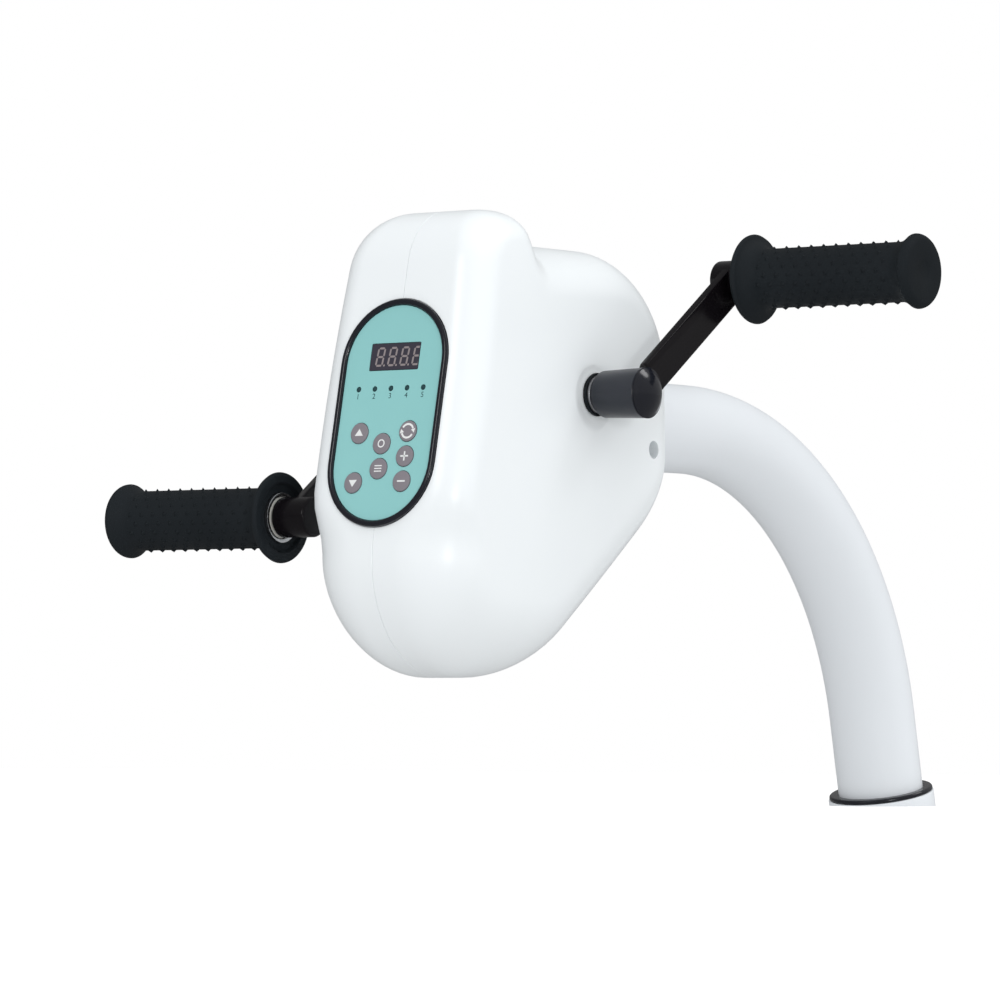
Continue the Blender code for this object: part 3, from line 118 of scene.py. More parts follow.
@dataclass(frozen=True)
class Finish:
    """A surface finish: colour, gloss and relief, all read from Object coordinates."""

    name: str
    colour: tuple[float, float, float]
    tint: tuple[float, float, float]
    roughness: tuple[float, float]
    grain: Grain = Grain.PEEL
    metallic: float = 0.0
    specular: float = 0.5
    coat: float = 0.0
    coat_roughness: float = 0.05
    cloud_scale: float = 18.0  # patches of tint, per metre
    smear_scale: float = 60.0  # patches of gloss, per metre
    grain_scale: float = 900.0  # relief, per metre
    grain_depth: float = 0.00003
    grain_strength: float = 0.2

    def build(self) -> bpy.types.Material:
        """Make the material.

        Returns:
            The new material, with its colour, gloss and relief from noise.
        """
        made = bpy.data.materials.new(self.name + "_finish")
        made.use_nodes = True
        tree = made.node_tree
        shader = tree.nodes["Principled BSDF"]
        shader.inputs["Metallic"].default_value = self.metallic
        shader.inputs["Specular IOR Level"].default_value = self.specular
        shader.inputs["Coat Weight"].default_value = self.coat
        shader.inputs["Coat Roughness"].default_value = self.coat_roughness
        place = tree.nodes.new("ShaderNodeTexCoord").outputs["Object"]
        tree.links.new(self._colours(tree, place), shader.inputs["Base Color"])
        tree.links.new(self._gloss(tree, place), shader.inputs["Roughness"])
        tree.links.new(self._relief(tree, place), shader.inputs["Normal"])
        return made

    def _noise(self, tree: bpy.types.NodeTree, place: bpy.types.NodeSocket, scale: float,
               detail: float) -> bpy.types.NodeSocket:
        """Add a noise pattern.

        Args:
            tree: the material's nodes.
            place: the coordinates that it reads.
            scale: how many patches there are in a metre.
            detail: how many finer layers are added to it.

        Returns:
            Its factor.
        """
        noise = tree.nodes.new("ShaderNodeTexNoise")
        noise.inputs["Scale"].default_value = scale
        noise.inputs["Detail"].default_value = detail
        tree.links.new(place, noise.inputs["Vector"])
        return noise.outputs["Fac"]

    def _colours(self, tree: bpy.types.NodeTree, place: bpy.types.NodeSocket) -> bpy.types.NodeSocket:
        """Mix the colour with its tint in soft clouds.

        Args:
            tree: the material's nodes.
            place: the coordinates that it reads.

        Returns:
            The colour.
        """
        ramp = tree.nodes.new("ShaderNodeValToRGB")
        first, second = ramp.color_ramp.elements
        first.position, second.position = CLOUD_EDGES
        first.color = (*self.colour, 1.0)
        second.color = (*self.tint, 1.0)
        tree.links.new(self._noise(tree, place, self.cloud_scale, detail=3.0), ramp.inputs["Fac"])
        return ramp.outputs["Color"]

    def _gloss(self, tree: bpy.types.NodeTree, place: bpy.types.NodeSocket) -> bpy.types.NodeSocket:
        """Vary the roughness between its two values.

        Args:
            tree: the material's nodes.
            place: the coordinates that it reads.

        Returns:
            The roughness.
        """
        spread = tree.nodes.new("ShaderNodeMapRange")
        for limit, noise, roughness in zip(("Min", "Max"), SMEAR_EDGES, self.roughness):
            spread.inputs[f"From {limit}"].default_value = noise
            spread.inputs[f"To {limit}"].default_value = roughness
        tree.links.new(self._noise(tree, place, self.smear_scale, detail=4.0), spread.inputs["Value"])
        return spread.outputs["Result"]

    def _relief(self, tree: bpy.types.NodeTree, place: bpy.types.NodeSocket) -> bpy.types.NodeSocket:
        """Raise the surface's fine grain.

        Args:
            tree: the material's nodes.
            place: the coordinates that it reads.

        Returns:
            The bumped normal.
        """
        if self.grain is Grain.STIPPLE:
            dots = tree.nodes.new("ShaderNodeTexVoronoi")
            dots.inputs["Scale"].default_value = self.grain_scale
            tree.links.new(place, dots.inputs["Vector"])
            height = dots.outputs["Distance"]
        elif self.grain is Grain.BRUSHED:
            stretch = tree.nodes.new("ShaderNodeMapping")
            stretch.inputs["Scale"].default_value = BRUSHING
            tree.links.new(place, stretch.inputs["Vector"])
            height = self._noise(tree, stretch.outputs["Vector"], self.grain_scale, detail=2.0)
        else:
            height = self._noise(tree, place, self.grain_scale, detail=1.0)
        bump = tree.nodes.new("ShaderNodeBump")
        bump.inputs["Strength"].default_value = self.grain_strength
        bump.inputs["Distance"].default_value = self.grain_depth
        tree.links.new(height, bump.inputs["Height"])
        return bump.outputs["Normal"]


FINISHES = (
    Finish("white_shell", (0.845, 0.885, 0.905), (0.84, 0.88, 0.902), (0.29, 0.33),
           specular=0.45, coat=0.08, coat_roughness=0.14, grain_scale=160.0, grain_depth=0.00004,
           grain_strength=0.03),
    Finish("white_paint", (0.755, 0.790, 0.825), (0.75, 0.785, 0.82), (0.34, 0.40),
           specular=0.35, grain_scale=260.0, grain_depth=0.00002, grain_strength=0.03),
    Finish("black_rubber", (0.0098, 0.0130, 0.0160), (0.0118, 0.0155, 0.0188), (0.60, 0.72), Grain.STIPPLE,
           specular=0.12, grain_scale=1500.0, grain_depth=0.00006, grain_strength=0.35),
    Finish("black_paint", (0.0040, 0.0032, 0.0042), (0.0055, 0.0045, 0.0058), (0.18, 0.26),
           specular=0.20, grain_scale=700.0, grain_depth=0.00003),
    Finish("black_plastic", (0.0075, 0.0085, 0.0130), (0.0090, 0.0100, 0.0150), (0.14, 0.20),
           specular=0.50, grain_scale=800.0, grain_depth=0.00002, grain_strength=0.06),
    # painted reflection: the hub's black is a lighter, bluer copy of the arm's black paint on the same welded
    # solid, standing in for the light that the round hub reflects
    Finish("hub_black", (0.0110, 0.0135, 0.0210), (0.0125, 0.0150, 0.0230), (0.30, 0.38),
           specular=0.40, grain_scale=800.0, grain_depth=0.00002, grain_strength=0.06),
    Finish("teal_film", (0.250, 0.545, 0.545), (0.262, 0.565, 0.562), (0.42, 0.52), Grain.STIPPLE,
           specular=0.35, grain_scale=2600.0, grain_depth=0.00002, grain_strength=0.2),
    Finish("smoked_lens", (0.042, 0.039, 0.054), (0.046, 0.043, 0.058), (0.06, 0.12),
           specular=0.4, grain_strength=0.05),
    Finish("grey_key", (0.205, 0.190, 0.215), (0.225, 0.208, 0.232), (0.38, 0.50), Grain.STIPPLE,
           specular=0.35, grain_scale=2400.0, grain_depth=0.00002),
    Finish("green_board", (0.030, 0.170, 0.070), (0.022, 0.140, 0.055), (0.35, 0.50),
           cloud_scale=90.0, grain_scale=1200.0),
    Finish("bright_steel", (0.62, 0.62, 0.63), (0.56, 0.56, 0.57), (0.18, 0.26), Grain.BRUSHED,
           metallic=1.0, grain_scale=3000.0, grain_depth=0.00002, grain_strength=0.3),
    Finish("bearing_steel", (0.55, 0.55, 0.57), (0.50, 0.50, 0.52), (0.16, 0.26), Grain.BRUSHED,
           metallic=1.0, grain_scale=3200.0, grain_depth=0.00002),
    Finish("motor_steel", (0.50, 0.50, 0.52), (0.44, 0.44, 0.46), (0.28, 0.42), Grain.BRUSHED,
           metallic=1.0, grain_scale=2200.0, grain_depth=0.00003),
    Finish("cast_alloy", (0.50, 0.51, 0.53), (0.43, 0.44, 0.46), (0.40, 0.56), Grain.STIPPLE,
           metallic=0.9, grain_scale=700.0, grain_depth=0.0001, grain_strength=0.4),
    Finish("nylon", (0.80, 0.79, 0.74), (0.77, 0.76, 0.71), (0.42, 0.52), grain_scale=900.0),
    Finish("white_print", (0.80, 0.82, 0.82), (0.76, 0.78, 0.78), (0.45, 0.55), Grain.STIPPLE,
           specular=0.3, grain_scale=2600.0, grain_depth=0.00001),
    Finish("dark_print", (0.012, 0.050, 0.058), (0.016, 0.058, 0.066), (0.45, 0.55), Grain.STIPPLE,
           specular=0.3, grain_scale=2600.0, grain_depth=0.00001),
    Finish("segment_grey", (0.260, 0.225, 0.230), (0.290, 0.250, 0.255), (0.35, 0.45),
           specular=0.3, grain_depth=0.00001),
)


# Shaping
def eased(share: float) -> float:
    """A share that leaves 0 and reaches 1 softly."""
    return share * share * (3 - 2 * share)


def quarter_turn(steps: int, first: int = 0) -> list[float]:
    """The angles of a quarter turn.

    Args:
        steps: how many steps it has.
        first: the step that the list starts at.

    Returns:
        Its angles in order, up to the right angle.
    """
    return [pi / 2 * k / steps for k in range(first, steps + 1)]


def round_start(start: float, radius: float, reach: float, steps: int) -> Outline:
    """The rounded edge where a turned section starts.

    Args:
        start: where the section starts along its axis.
        radius: its radius past the rounding.
        reach: the rounding's radius.
        steps: facets over it.

    Returns:
        The edge's points, from the section's start to its side.
    """
    return [(start + reach * (1 - cos(angle)), radius - reach * (1 - sin(angle)))
            for angle in quarter_turn(steps)]


def round_end(end: float, radius: float, reach: float, steps: int, first: int = 0) -> Outline:
    """The rounded edge where a turned section ends.

    Args:
        end: where the section ends along its axis.
        radius: its radius before the rounding.
        reach: the rounding's radius.
        steps: facets over it.
        first: the step that its points start at.

    Returns:
        The edge's points, from the section's side to its end.
    """
    return [(end - reach * (1 - sin(angle)), radius - reach * (1 - cos(angle)))
            for angle in quarter_turn(steps, first)]


def turned(profile: Outline, steps: int, place: Matrix = Matrix(),
           bm: bmesh.types.BMesh | None = None) -> bmesh.types.BMesh:
    """Turn a section about the Z axis, then place the shape.

    Args:
        profile: (distance along, radius) points. A section that starts and ends
            on the axis gives a solid piece, and any other is closed to a ring.
        steps: facets round the axis.
        place: where the shape goes.
        bm: a mesh to add it to, or none for a new one.

    Returns:
        The mesh.
    """
    bm = bm or bmesh.new()
    before = set(bm.verts)
    points = [bm.verts.new((radius, 0.0, along)) for along, radius in profile]
    edges = [bm.edges.new(pair) for pair in zip(points, points[1:])]
    if profile[0][1] > 0 or profile[-1][1] > 0:
        edges.append(bm.edges.new((points[-1], points[0])))
    bmesh.ops.spin(bm, geom=points + edges, cent=(0, 0, 0), axis=(0, 0, 1), angle=2 * pi,
                   steps=steps, use_merge=True)
    bmesh.ops.remove_doubles(bm, verts=[v for v in bm.verts if v not in before], dist=WELD)
    bmesh.ops.transform(bm, matrix=place, verts=[v for v in bm.verts if v not in before])
    return bm


def rod(start: float, end: float, radius: float) -> Outline:
    """A pin's section.

    Args:
        start: where it starts along its axis.
        end: where it ends.
        radius: its radius.

    Returns:
        The section's points.
    """
    return [(start, 0.0), (start, radius), (end, radius), (end, 0.0)]


def ring(start: float, end: float, inner: float, outer: float) -> Outline:
    """A ring's section.

    Args:
        start: where it starts along its axis.
        end: where it ends.
        inner: radius of its hole.
        outer: its outside radius.

    Returns:
        The section's points.
    """
    return [(start, inner), (start, outer), (end, outer), (end, inner)]


def prism(outline: Outline, low: float, high: float, place: Matrix = Matrix(),
          bm: bmesh.types.BMesh | None = None) -> bmesh.types.BMesh:
    """Extrude a flat outline along Z, then place the shape.

    Args:
        outline: its corners.
        low: where it starts.
        high: where it ends.
        place: where the shape goes.
        bm: a mesh to add it to, or none for a new one.

    Returns:
        The mesh.
    """
    bm = bm or bmesh.new()
    corners = [bm.verts.new((x, y, low)) for x, y in outline]
    base = bm.faces.new(corners)
    made = bmesh.ops.extrude_face_region(bm, geom=[base], use_keep_orig=True)["geom"]
    top = [v for v in made if isinstance(v, bmesh.types.BMVert)]
    bmesh.ops.translate(bm, vec=(0, 0, high - low), verts=top)
    bmesh.ops.transform(bm, matrix=place, verts=corners + top)
    return bm


def first_ring(bm: bmesh.types.BMesh, places: Iterable[Vector]) -> list[bmesh.types.BMVert]:
    """Start a surface with a closed ring of points.

    Args:
        bm: the mesh.
        places: where its points go.

    Returns:
        The ring's points in order.
    """
    made = [bm.verts.new(place) for place in places]
    for pair in zip(made, made[1:] + made[:1]):
        bm.edges.new(pair)
    return made


def next_ring(bm: bmesh.types.BMesh, last: list[bmesh.types.BMVert],
              places: Iterable[Vector]) -> list[bmesh.types.BMVert]:
    """Extrude a closed ring of points to new places.

    Args:
        bm: the mesh.
        last: the ring that it goes on from.
        places: where the new points go.

    Returns:
        The new ring's points in order.
    """
    edges = [bm.edges.get(pair) for pair in zip(last, last[1:] + last[:1])]
    made = bmesh.ops.extrude_edge_only(bm, edges=edges)["geom"]
    fresh = {v for v in made if isinstance(v, bmesh.types.BMVert)}
    following = [next(e.other_vert(v) for e in v.link_edges if e.other_vert(v) in fresh) for v in last]
    for vertex, place in zip(following, places):
        vertex.co = place
    return following


def stacked(levels: list[tuple[Outline, float]], place: Matrix = Matrix()) -> bmesh.types.BMesh:
    """Make a body through flat outlines that have equally many points.

    Args:
        levels: the outlines and their heights, in order over the surface.
        place: where the shape goes.

    Returns:
        The mesh.
    """
    bm = bmesh.new()
    heights = [[Vector((x, y, high)) for x, y in outline] for outline, high in levels]
    bottom = first_ring(bm, heights[0])
    last = bottom
    for height in heights[1:]:
        last = next_ring(bm, last, height)
    bm.faces.new(bottom)
    bm.faces.new(last)
    bmesh.ops.transform(bm, matrix=place, verts=bm.verts)
    return bm


def soften(bm: bmesh.types.BMesh, width: float, segments: int = 3, sharper: float = radians(30),
           keep: Callable[[bmesh.types.BMEdge], bool] | None = None) -> bmesh.types.BMesh:
    """Round the sharp edges.

    Args:
        bm: the mesh.
        width: how far the rounding reaches from each edge.
        segments: facets across it.
        sharper: the angle past which an edge counts as sharp.
        keep: picks among the sharp edges, or none for all.

    Returns:
        The same mesh.
    """
    bmesh.ops.remove_doubles(bm, verts=bm.verts, dist=WELD)
    bmesh.ops.recalc_face_normals(bm, faces=bm.faces)
    edges = [e for e in bm.edges if len(e.link_faces) == 2 and e.calc_face_angle(0.0) > sharper]
    if keep:
        edges = [e for e in edges if keep(e)]
    bmesh.ops.bevel(bm, geom=edges, offset=width, offset_type="OFFSET", affect="EDGES", segments=segments,
                    profile=0.5, material=-1, clamp_overlap=True)
    return bm


def combined(bm: bmesh.types.BMesh, tool: bmesh.types.BMesh, operation: str) -> bmesh.types.BMesh:
    """Join one mesh to another or cut it out.

    Args:
        bm: the mesh that is kept.
        tool: the mesh that is joined or cut out.
        operation: UNION or DIFFERENCE.

    Returns:
        The mesh that it makes.
    """
    pair = []
    for mesh in (bm, tool):
        bmesh.ops.remove_doubles(mesh, verts=mesh.verts, dist=WELD)
        bmesh.ops.recalc_face_normals(mesh, faces=mesh.faces)
        data = bpy.data.meshes.new("tool")
        mesh.to_mesh(data)
        mesh.free()
        pair.append(bpy.data.objects.new("tool", data))
        bpy.context.scene.collection.objects.link(pair[-1])
    modifier = pair[0].modifiers.new("tool", "BOOLEAN")
    modifier.operation = operation
    modifier.solver = "EXACT"
    modifier.object = pair[1]
    graph = bpy.context.evaluated_depsgraph_get()
    made = bmesh.new()
    made.from_mesh(pair[0].evaluated_get(graph).to_mesh())
    for used in pair:
        bpy.data.objects.remove(used)
    return made


def stadium(half_width: float, half_height: float, steps: int = 28) -> Outline:
    """An upright outline with round ends.

    Args:
        half_width: half its width, and the radius of its ends.
        half_height: half its height.
        steps: facets round each end.

    Returns:
        The outline's points.
    """
    rise = half_height - half_width
    points = []
    for turn, centre in ((0.0, rise), (pi, -rise)):
        for k in range(steps + 1):
            angle = turn + pi * k / steps
            points.append((half_width * cos(angle), centre + half_width * sin(angle)))
    return points


def rounded_box(half_width: float, half_height: float, radius: float,
                centre: tuple[float, float] = (0.0, 0.0), steps: int = 6) -> Outline:
    """A rectangle's outline with rounded corners.

    Args:
        half_width: half its width.
        half_height: half its height.
        radius: the corners' radius.
        centre: its middle.
        steps: facets round each corner.

    Returns:
        The outline's points.
    """
    points = []
    for quarter, (sx, sy) in enumerate(((1, 1), (-1, 1), (-1, -1), (1, -1))):
        for k in range(steps + 1):
            angle = pi / 2 * (quarter + k / steps)
            points.append((centre[0] + sx * (half_width - radius) + radius * cos(angle),
                           centre[1] + sy * (half_height - radius) + radius * sin(angle)))
    return points


def sideways(side: Side, y: float, z: float) -> Matrix:
    """Place a shape turned about Z along +X, and mirror it to its side.

    Args:
        side: the side that it goes to.
        y: where its axis is from front to back.
        z: how high its axis is.

    Returns:
        The place.
    """
    return Matrix.Translation((0, y, z)) @ Matrix.Diagonal((side.value, 1, 1, 1)) @ ALONG_X


# Workshop
@dataclass
class Workshop:
    """Makes finished pieces, and knows where the crank axis is."""

    finishes: dict[str, bpy.types.Material]
    axis: Vector  # the middle of the crank axis
    arm_angle: float  # of the right arm, above the level

    def crank_place(self, side: Side) -> Matrix:
        """The frame of a side's crank: +X along the axle and +Y along the arm."""
        return (Matrix.Translation(self.axis) @ Matrix.Rotation(self.arm_angle, 4, "X")
                @ Matrix.Rotation(side.turn, 4, "Z"))

    def head_place(self) -> Matrix:
        """The frame of the head, at the middle of the crank axis."""
        return Matrix.Translation(self.axis)

    def piece(self, name: str, bm: bmesh.types.BMesh, slot: str, body: str, place: Matrix = Matrix(),
              stands_for: Iterable[str] = (), finish: str = "", sharp: float = 34.0) -> None:
        """Make a finished piece of a mesh, at the origin.

        Args:
            name: its name.
            bm: its mesh, which is used up.
            slot: the record's material slot.
            body: the body that it rides on.
            place: the frame that its mesh is drawn in.
            stands_for: the solids that it replaces.
            finish: its finish, or empty for the slot's own.
            sharp: edges sharper than this, in degrees, stay sharp.
        """
        bmesh.ops.remove_doubles(bm, verts=bm.verts, dist=WELD)
        bmesh.ops.transform(bm, matrix=place, verts=bm.verts)
        bmesh.ops.recalc_face_normals(bm, faces=bm.faces)
        mesh = bpy.data.meshes.new(name)
        bm.to_mesh(mesh)
        bm.free()
        mesh.shade_smooth()
        mesh.set_sharp_from_angle(angle=radians(sharp))
        mesh.materials.append(self.finishes[finish or slot])
        made = bpy.data.objects.new(name, mesh)
        bpy.context.scene.collection.objects.link(made)
        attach(made, body)
        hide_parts(*stands_for)
        LOG.info("%s: %d faces on %s", name, len(mesh.polygons), body)


# Housing
@dataclass
class Housing:
    """The moulded housing: two shells that meet on the middle plane."""

    shop: Workshop
    face_slope: float = 0.216  # the front leans back by this much of its height
    face_y: float = -0.121  # the panel's middle
    face_z: float = -0.0131
    cowl_top: float = 0.0985
    cowl_back: float = -0.050
    notch_y: float = -0.041
    dome_top: float = 0.082
    back: float = 0.090
    back_foot: float = -0.061
    belly_back: float = -0.034
    belly: float = -0.155
    toe_y: float = -0.142
    knee_z: float = -0.070
    half_width: float = 0.053
    wall: float = 0.003
    flank_bow: float = 0.13  # the share of the half width that is lost at the bow's span
    bow_centre: float = -0.033
    bow_span: float = 0.125
    flank_taper: float = 0.10  # the share that is lost at the taper's span
    taper_start: float = -0.060
    taper_span: float = 0.150
    taper_power: float = 1.6
    flank_centre: tuple[float, float] = (-0.012, -0.030)
    flank_shares: tuple[float, ...] = (0.86, 0.72, 0.58, 0.45, 0.33, 0.22, 0.12, 0.05)  # its rings' sizes
    outer_rows: int = 26
    inner_rows: int = 5
    arc_step: float = radians(4.0)  # between points round a corner of the outline
    least_steps: int = 4  # round a corner
    longest_run: float = 0.007  # between points on a straight of the outline
    shortest_run: float = 0.0003  # a shorter straight has no point of its own
    seam_chamfer: float = 0.0002
    seam_half: float = 0.00005  # half the fine gap of the closed seam
    dish_floor: float = 0.0502
    dish_radius: float = 0.0215
    dish_fade: float = 0.0085  # width of the dish's soft slope
    dish_lip: float = 0.0006  # the slope runs out this far above the flank
    dish_flare: float = 0.0005  # the cutter widens by this beyond the flank
    dish_steps: int = 8
    backing_rim: float = 0.0015  # the hub's backing is this much wider than the dish
    hub_hole_radius: float = 0.0105
    hub_hole_edge: float = 0.0004
    neck_depth: float = 0.030  # the neck's hole, from the back inwards
    neck_stand: float = 0.020  # its cutter stands this far out of the back
    flank_stand: float = 0.010  # the other cutters stand this far out of the flank
    recess_radius: float = 0.0050
    boss_wall: float = 0.0022
    screw_hole_radius: float = 0.0025
    pilot_radius: float = 0.0023  # the right shell's holes, which the joining screws bite into
    pilot_depth: float = 0.013
    rear_screw: tuple[float, float] = (0.0585, -0.0280)
    rear_seat: float = 0.0373
    rear_post: float = 0.004  # the post goes this far in from the seat
    rear_drill: float = 0.006  # and the hole this far
    join_seat: float = 0.0180
    join_screws: tuple[tuple[float, float], ...] = (
        (-0.072, 0.074), (0.035, 0.058), (-0.092, -0.124), (0.020, -0.080))

    def front(self, z: float) -> float:
        """The front face's Y at a height, from the crank axis."""
        return self.face_y + (z - self.face_z) * self.face_slope

    def corners(self) -> list[tuple[float, float, float, float, float]]:
        """The parting outline's corners: y, z, radius, and the next edge's depth and width."""
        return [
            (self.toe_y, self.belly, 0.062, 0.044, 0.042),
            (self.belly_back, self.belly, 0.100, 0.034, 0.038),
            (self.back, self.back_foot, 0.060, 0.026, 0.034),
            (self.back, self.dome_top, 0.064, 0.030, 0.036),
            (self.notch_y, self.dome_top, 0.009, 0.018, 0.030),
            (self.cowl_back, self.cowl_top, 0.020, 0.018, 0.030),
            (self.front(self.cowl_top), self.cowl_top, 0.038, 0.019, 0.020),
            (self.front(self.knee_z), self.knee_z, 0.300, 0.034, 0.040),
        ]

    def outline(self) -> list[tuple[float, float, float, float]]:
        """Round the corners of the parting outline.

        Returns:
            Points of y, z, and the depth and width of the rounded edge there.
        """
        corners = self.corners()
        points = []
        for i, (y, z, radius, depth, width) in enumerate(corners):
            corner = Vector((y, z))
            to_last = (Vector(corners[i - 1][:2]) - corner).normalized()
            to_next = (Vector(corners[(i + 1) % len(corners)][:2]) - corner).normalized()
            half = acos(to_last.dot(to_next)) / 2
            centre = corner + (to_last + to_next).normalized() * radius / sin(half)
            start = corner + to_last * radius / tan(half) - centre
            end = corner + to_next * radius / tan(half) - centre
            angle = atan2(start.y, start.x)
            turn = (atan2(end.y, end.x) - angle + pi) % (2 * pi) - pi
            steps = max(self.least_steps, ceil(abs(turn) / self.arc_step))
            for k in range(steps + 1):
                share = k / steps
                blend = eased(share)
                now = angle + turn * share
                spot = centre + radius * Vector((cos(now), sin(now)))
                points.append((spot.x, spot.y, corners[i - 1][3] * (1 - blend) + depth * blend,
                               corners[i - 1][4] * (1 - blend) + width * blend))
        filled = []
        for here, there in zip(points, points[1:] + points[:1]):
            run = (Vector(here[:2]) - Vector(there[:2])).length
            pieces = ceil(run / self.longest_run) if run > self.shortest_run else 0
            for k in range(pieces):
                filled.append(tuple(a + (b - a) * k / pieces for a, b in zip(here, there)))
        return filled

    def share(self, y: float, z: float) -> float:
        """How much of the half width is left at a point: the flanks bow and taper."""
        bow = 1 - self.flank_bow * ((z - self.bow_centre) / self.bow_span) ** 2
        behind = max(0.0, y - self.taper_start) / self.taper_span
        taper = 1 - self.flank_taper * behind ** self.taper_power
        return bow * taper

    def inward(self, spots: Places, i: int) -> Vector:
        """The direction into the outline at one of its points."""
        along = (spots[(i + 1) % len(spots)] - spots[i - 1]).normalized()
        return Vector((-along.y, along.x))

    def rings(self, inset: float, rows: int) -> list[Places]:
        """Lay rings over one half, from the parting line to the middle of the flank.

        Args:
            inset: how far they lie inside the outer surface.
            rows: rings over the rounded edge.

        Returns:
            The rings, on the +X side.
        """
        outline = self.outline()
        spots = [Vector(point[:2]) for point in outline]
        inward = [self.inward(spots, i) for i in range(len(spots))]
        made = []
        if not inset:
            lip = self.seam_chamfer
            made.append([Vector((self.seam_half, *(s + n * lip))) for s, n in zip(spots, inward)])
            made.append([Vector((self.seam_half + lip, *s)) for s in spots])
        else:
            made.append([Vector((self.seam_half, *(s + n * inset))) for s, n in zip(spots, inward)])
        for angle in quarter_turn(rows):
            places = []
            for spot, normal, (_, _, depth, width) in zip(spots, inward, outline):
                y, z = spot + normal * (inset + (depth - inset) * (1 - cos(angle)))
                reach = self.half_width - inset - (width - inset) * (1 - sin(angle))
                places.append(Vector((reach * self.share(y, z), y, z)))
            made.append(places)
        centre = Vector(self.flank_centre)
        edge = made[-1]
        for keep in self.flank_shares:
            places = []
            for point in edge:
                y, z = centre + (Vector(point[1:]) - centre) * keep
                places.append(Vector(((self.half_width - inset) * self.share(y, z), y, z)))
            made.append(places)
        return made

    def half(self, side: Side) -> bmesh.types.BMesh:
        """Make one hollow shell.

        Args:
            side: the side that it is on.

        Returns:
            Its mesh, in the head's frame.
        """
        bm = bmesh.new()
        outer = self.rings(0.0, self.outer_rows)
        inner = self.rings(self.wall, self.inner_rows)
        rim = first_ring(bm, outer[0])
        last = rim
        for places in outer[1:]:
            last = next_ring(bm, last, places)
        bm.faces.new(last)
        last = rim
        for places in inner:
            last = next_ring(bm, last, places)
        bm.faces.new(last)
        bmesh.ops.scale(bm, vec=(side.value, 1, 1), verts=bm.verts)
        return bm

    def posts(self, side: Side) -> bmesh.types.BMesh:
        """The solid screw posts and the hub's backing inside a shell."""
        flank = self.half_width * self.share(0.0, 0.0)
        boss = self.recess_radius + self.boss_wall
        backing = rod(self.dish_floor - self.wall, flank - self.wall / 2, self.dish_radius + self.backing_rim)
        bm = turned(backing, 48, sideways(side, 0.0, 0.0))
        y, z = self.rear_screw
        post = rod(self.rear_seat - self.rear_post, self.post_end(y, z, boss), boss)
        turned(post, 24, sideways(side, y, z), bm)
        for y, z in self.join_screws:
            turned(rod(GAP / 2, self.post_end(y, z, boss), boss), 24, sideways(side, y, z), bm)
        return bm

    def post_end(self, y: float, z: float, radius: float) -> float:
        """How far a post reaches into the wall without showing outside.

        Args:
            y: where its axis is from front to back.
            z: how high its axis is.
            radius: its radius.

        Returns:
            Its end's distance from the middle plane.
        """
        outline = self.outline()
        spots = [Vector(point[:2]) for point in outline]
        lowest = self.half_width
        for k in range(16):
            spot = Vector((y + radius * cos(pi * k / 8), z + radius * sin(pi * k / 8)))
            near = min(range(len(spots)), key=lambda i: (spot - spots[i]).length)
            depth, width = outline[near][2:]
            inset = (spot - spots[near]).dot(self.inward(spots, near))
            edge = min(1.0, max(0.0, 1 - inset / depth))
            lowest = min(lowest, (self.half_width - width * (1 - sin(acos(edge)))) * self.share(*spot))
        return lowest - self.wall / 2

    def screw_hole(self, start: float, seat: float) -> Outline:
        """The section of a screw's hole, with the recess over its head.

        Args:
            start: where the hole starts.
            seat: where the screw's head sits.

        Returns:
            The section's points.
        """
        far = self.half_width + self.flank_stand
        hole, recess = self.screw_hole_radius, self.recess_radius
        return [(start, 0.0), (start, hole), (seat, hole), (seat, recess), (far, recess), (far, 0.0)]

    def holes(self, side: Side) -> bmesh.types.BMesh:
        """What is cut out of a shell: hub hole and dish, neck hole and screw recesses.

        Args:
            side: the side that it is on.

        Returns:
            The cutter.
        """
        far = self.half_width + self.flank_stand
        flank = self.half_width * self.share(0.0, 0.0)
        floor, radius = self.dish_floor, self.dish_radius
        behind = floor - self.wall - REACH
        hub, edge = self.hub_hole_radius, self.hub_hole_edge
        dish = [(behind, 0.0), (behind, hub), (floor - edge, hub), (floor, hub + edge)]
        for k in range(self.dish_steps + 1):
            share = k / self.dish_steps
            dish.append((floor + (flank + self.dish_lip - floor) * eased(share),
                         radius + self.dish_fade * (share - 1)))
        dish += [(far, radius + self.dish_flare), (far, 0.0)]
        bm = turned(dish, 96, sideways(side, 0.0, 0.0))
        neck = rod(self.back - self.neck_depth, self.back + self.neck_stand, TUBE_RADIUS + GAP)
        turned(neck, 96, Matrix.Translation((0, 0, -TUBE_DROP)) @ ALONG_Y, bm)
        y, z = self.rear_screw
        rear = self.screw_hole(self.rear_seat - self.rear_drill, self.rear_seat)
        turned(rear, 40, sideways(side, y, z), bm)
        for y, z in self.join_screws:
            if side is Side.LEFT:
                profile = self.screw_hole(-REACH, self.join_seat)
            else:
                profile = rod(-REACH, self.pilot_depth, self.pilot_radius)
            turned(profile, 40, sideways(side, y, z), bm)
        return bm

    def build(self, panel: "ControlPanel") -> None:
        """Make both shells.

        Args:
            panel: the control panel that sits in their front.
        """
        for side in Side:
            bm = combined(self.half(side), self.posts(side), "UNION")
            bm = combined(bm, self.holes(side), "DIFFERENCE")
            bm = combined(bm, panel.opening(), "DIFFERENCE")
            self.shop.piece(f"{side.word}_shell", bm, "white_shell", "head", self.shop.head_place(),
                            [f"housing_{side.word}"], sharp=28.0)


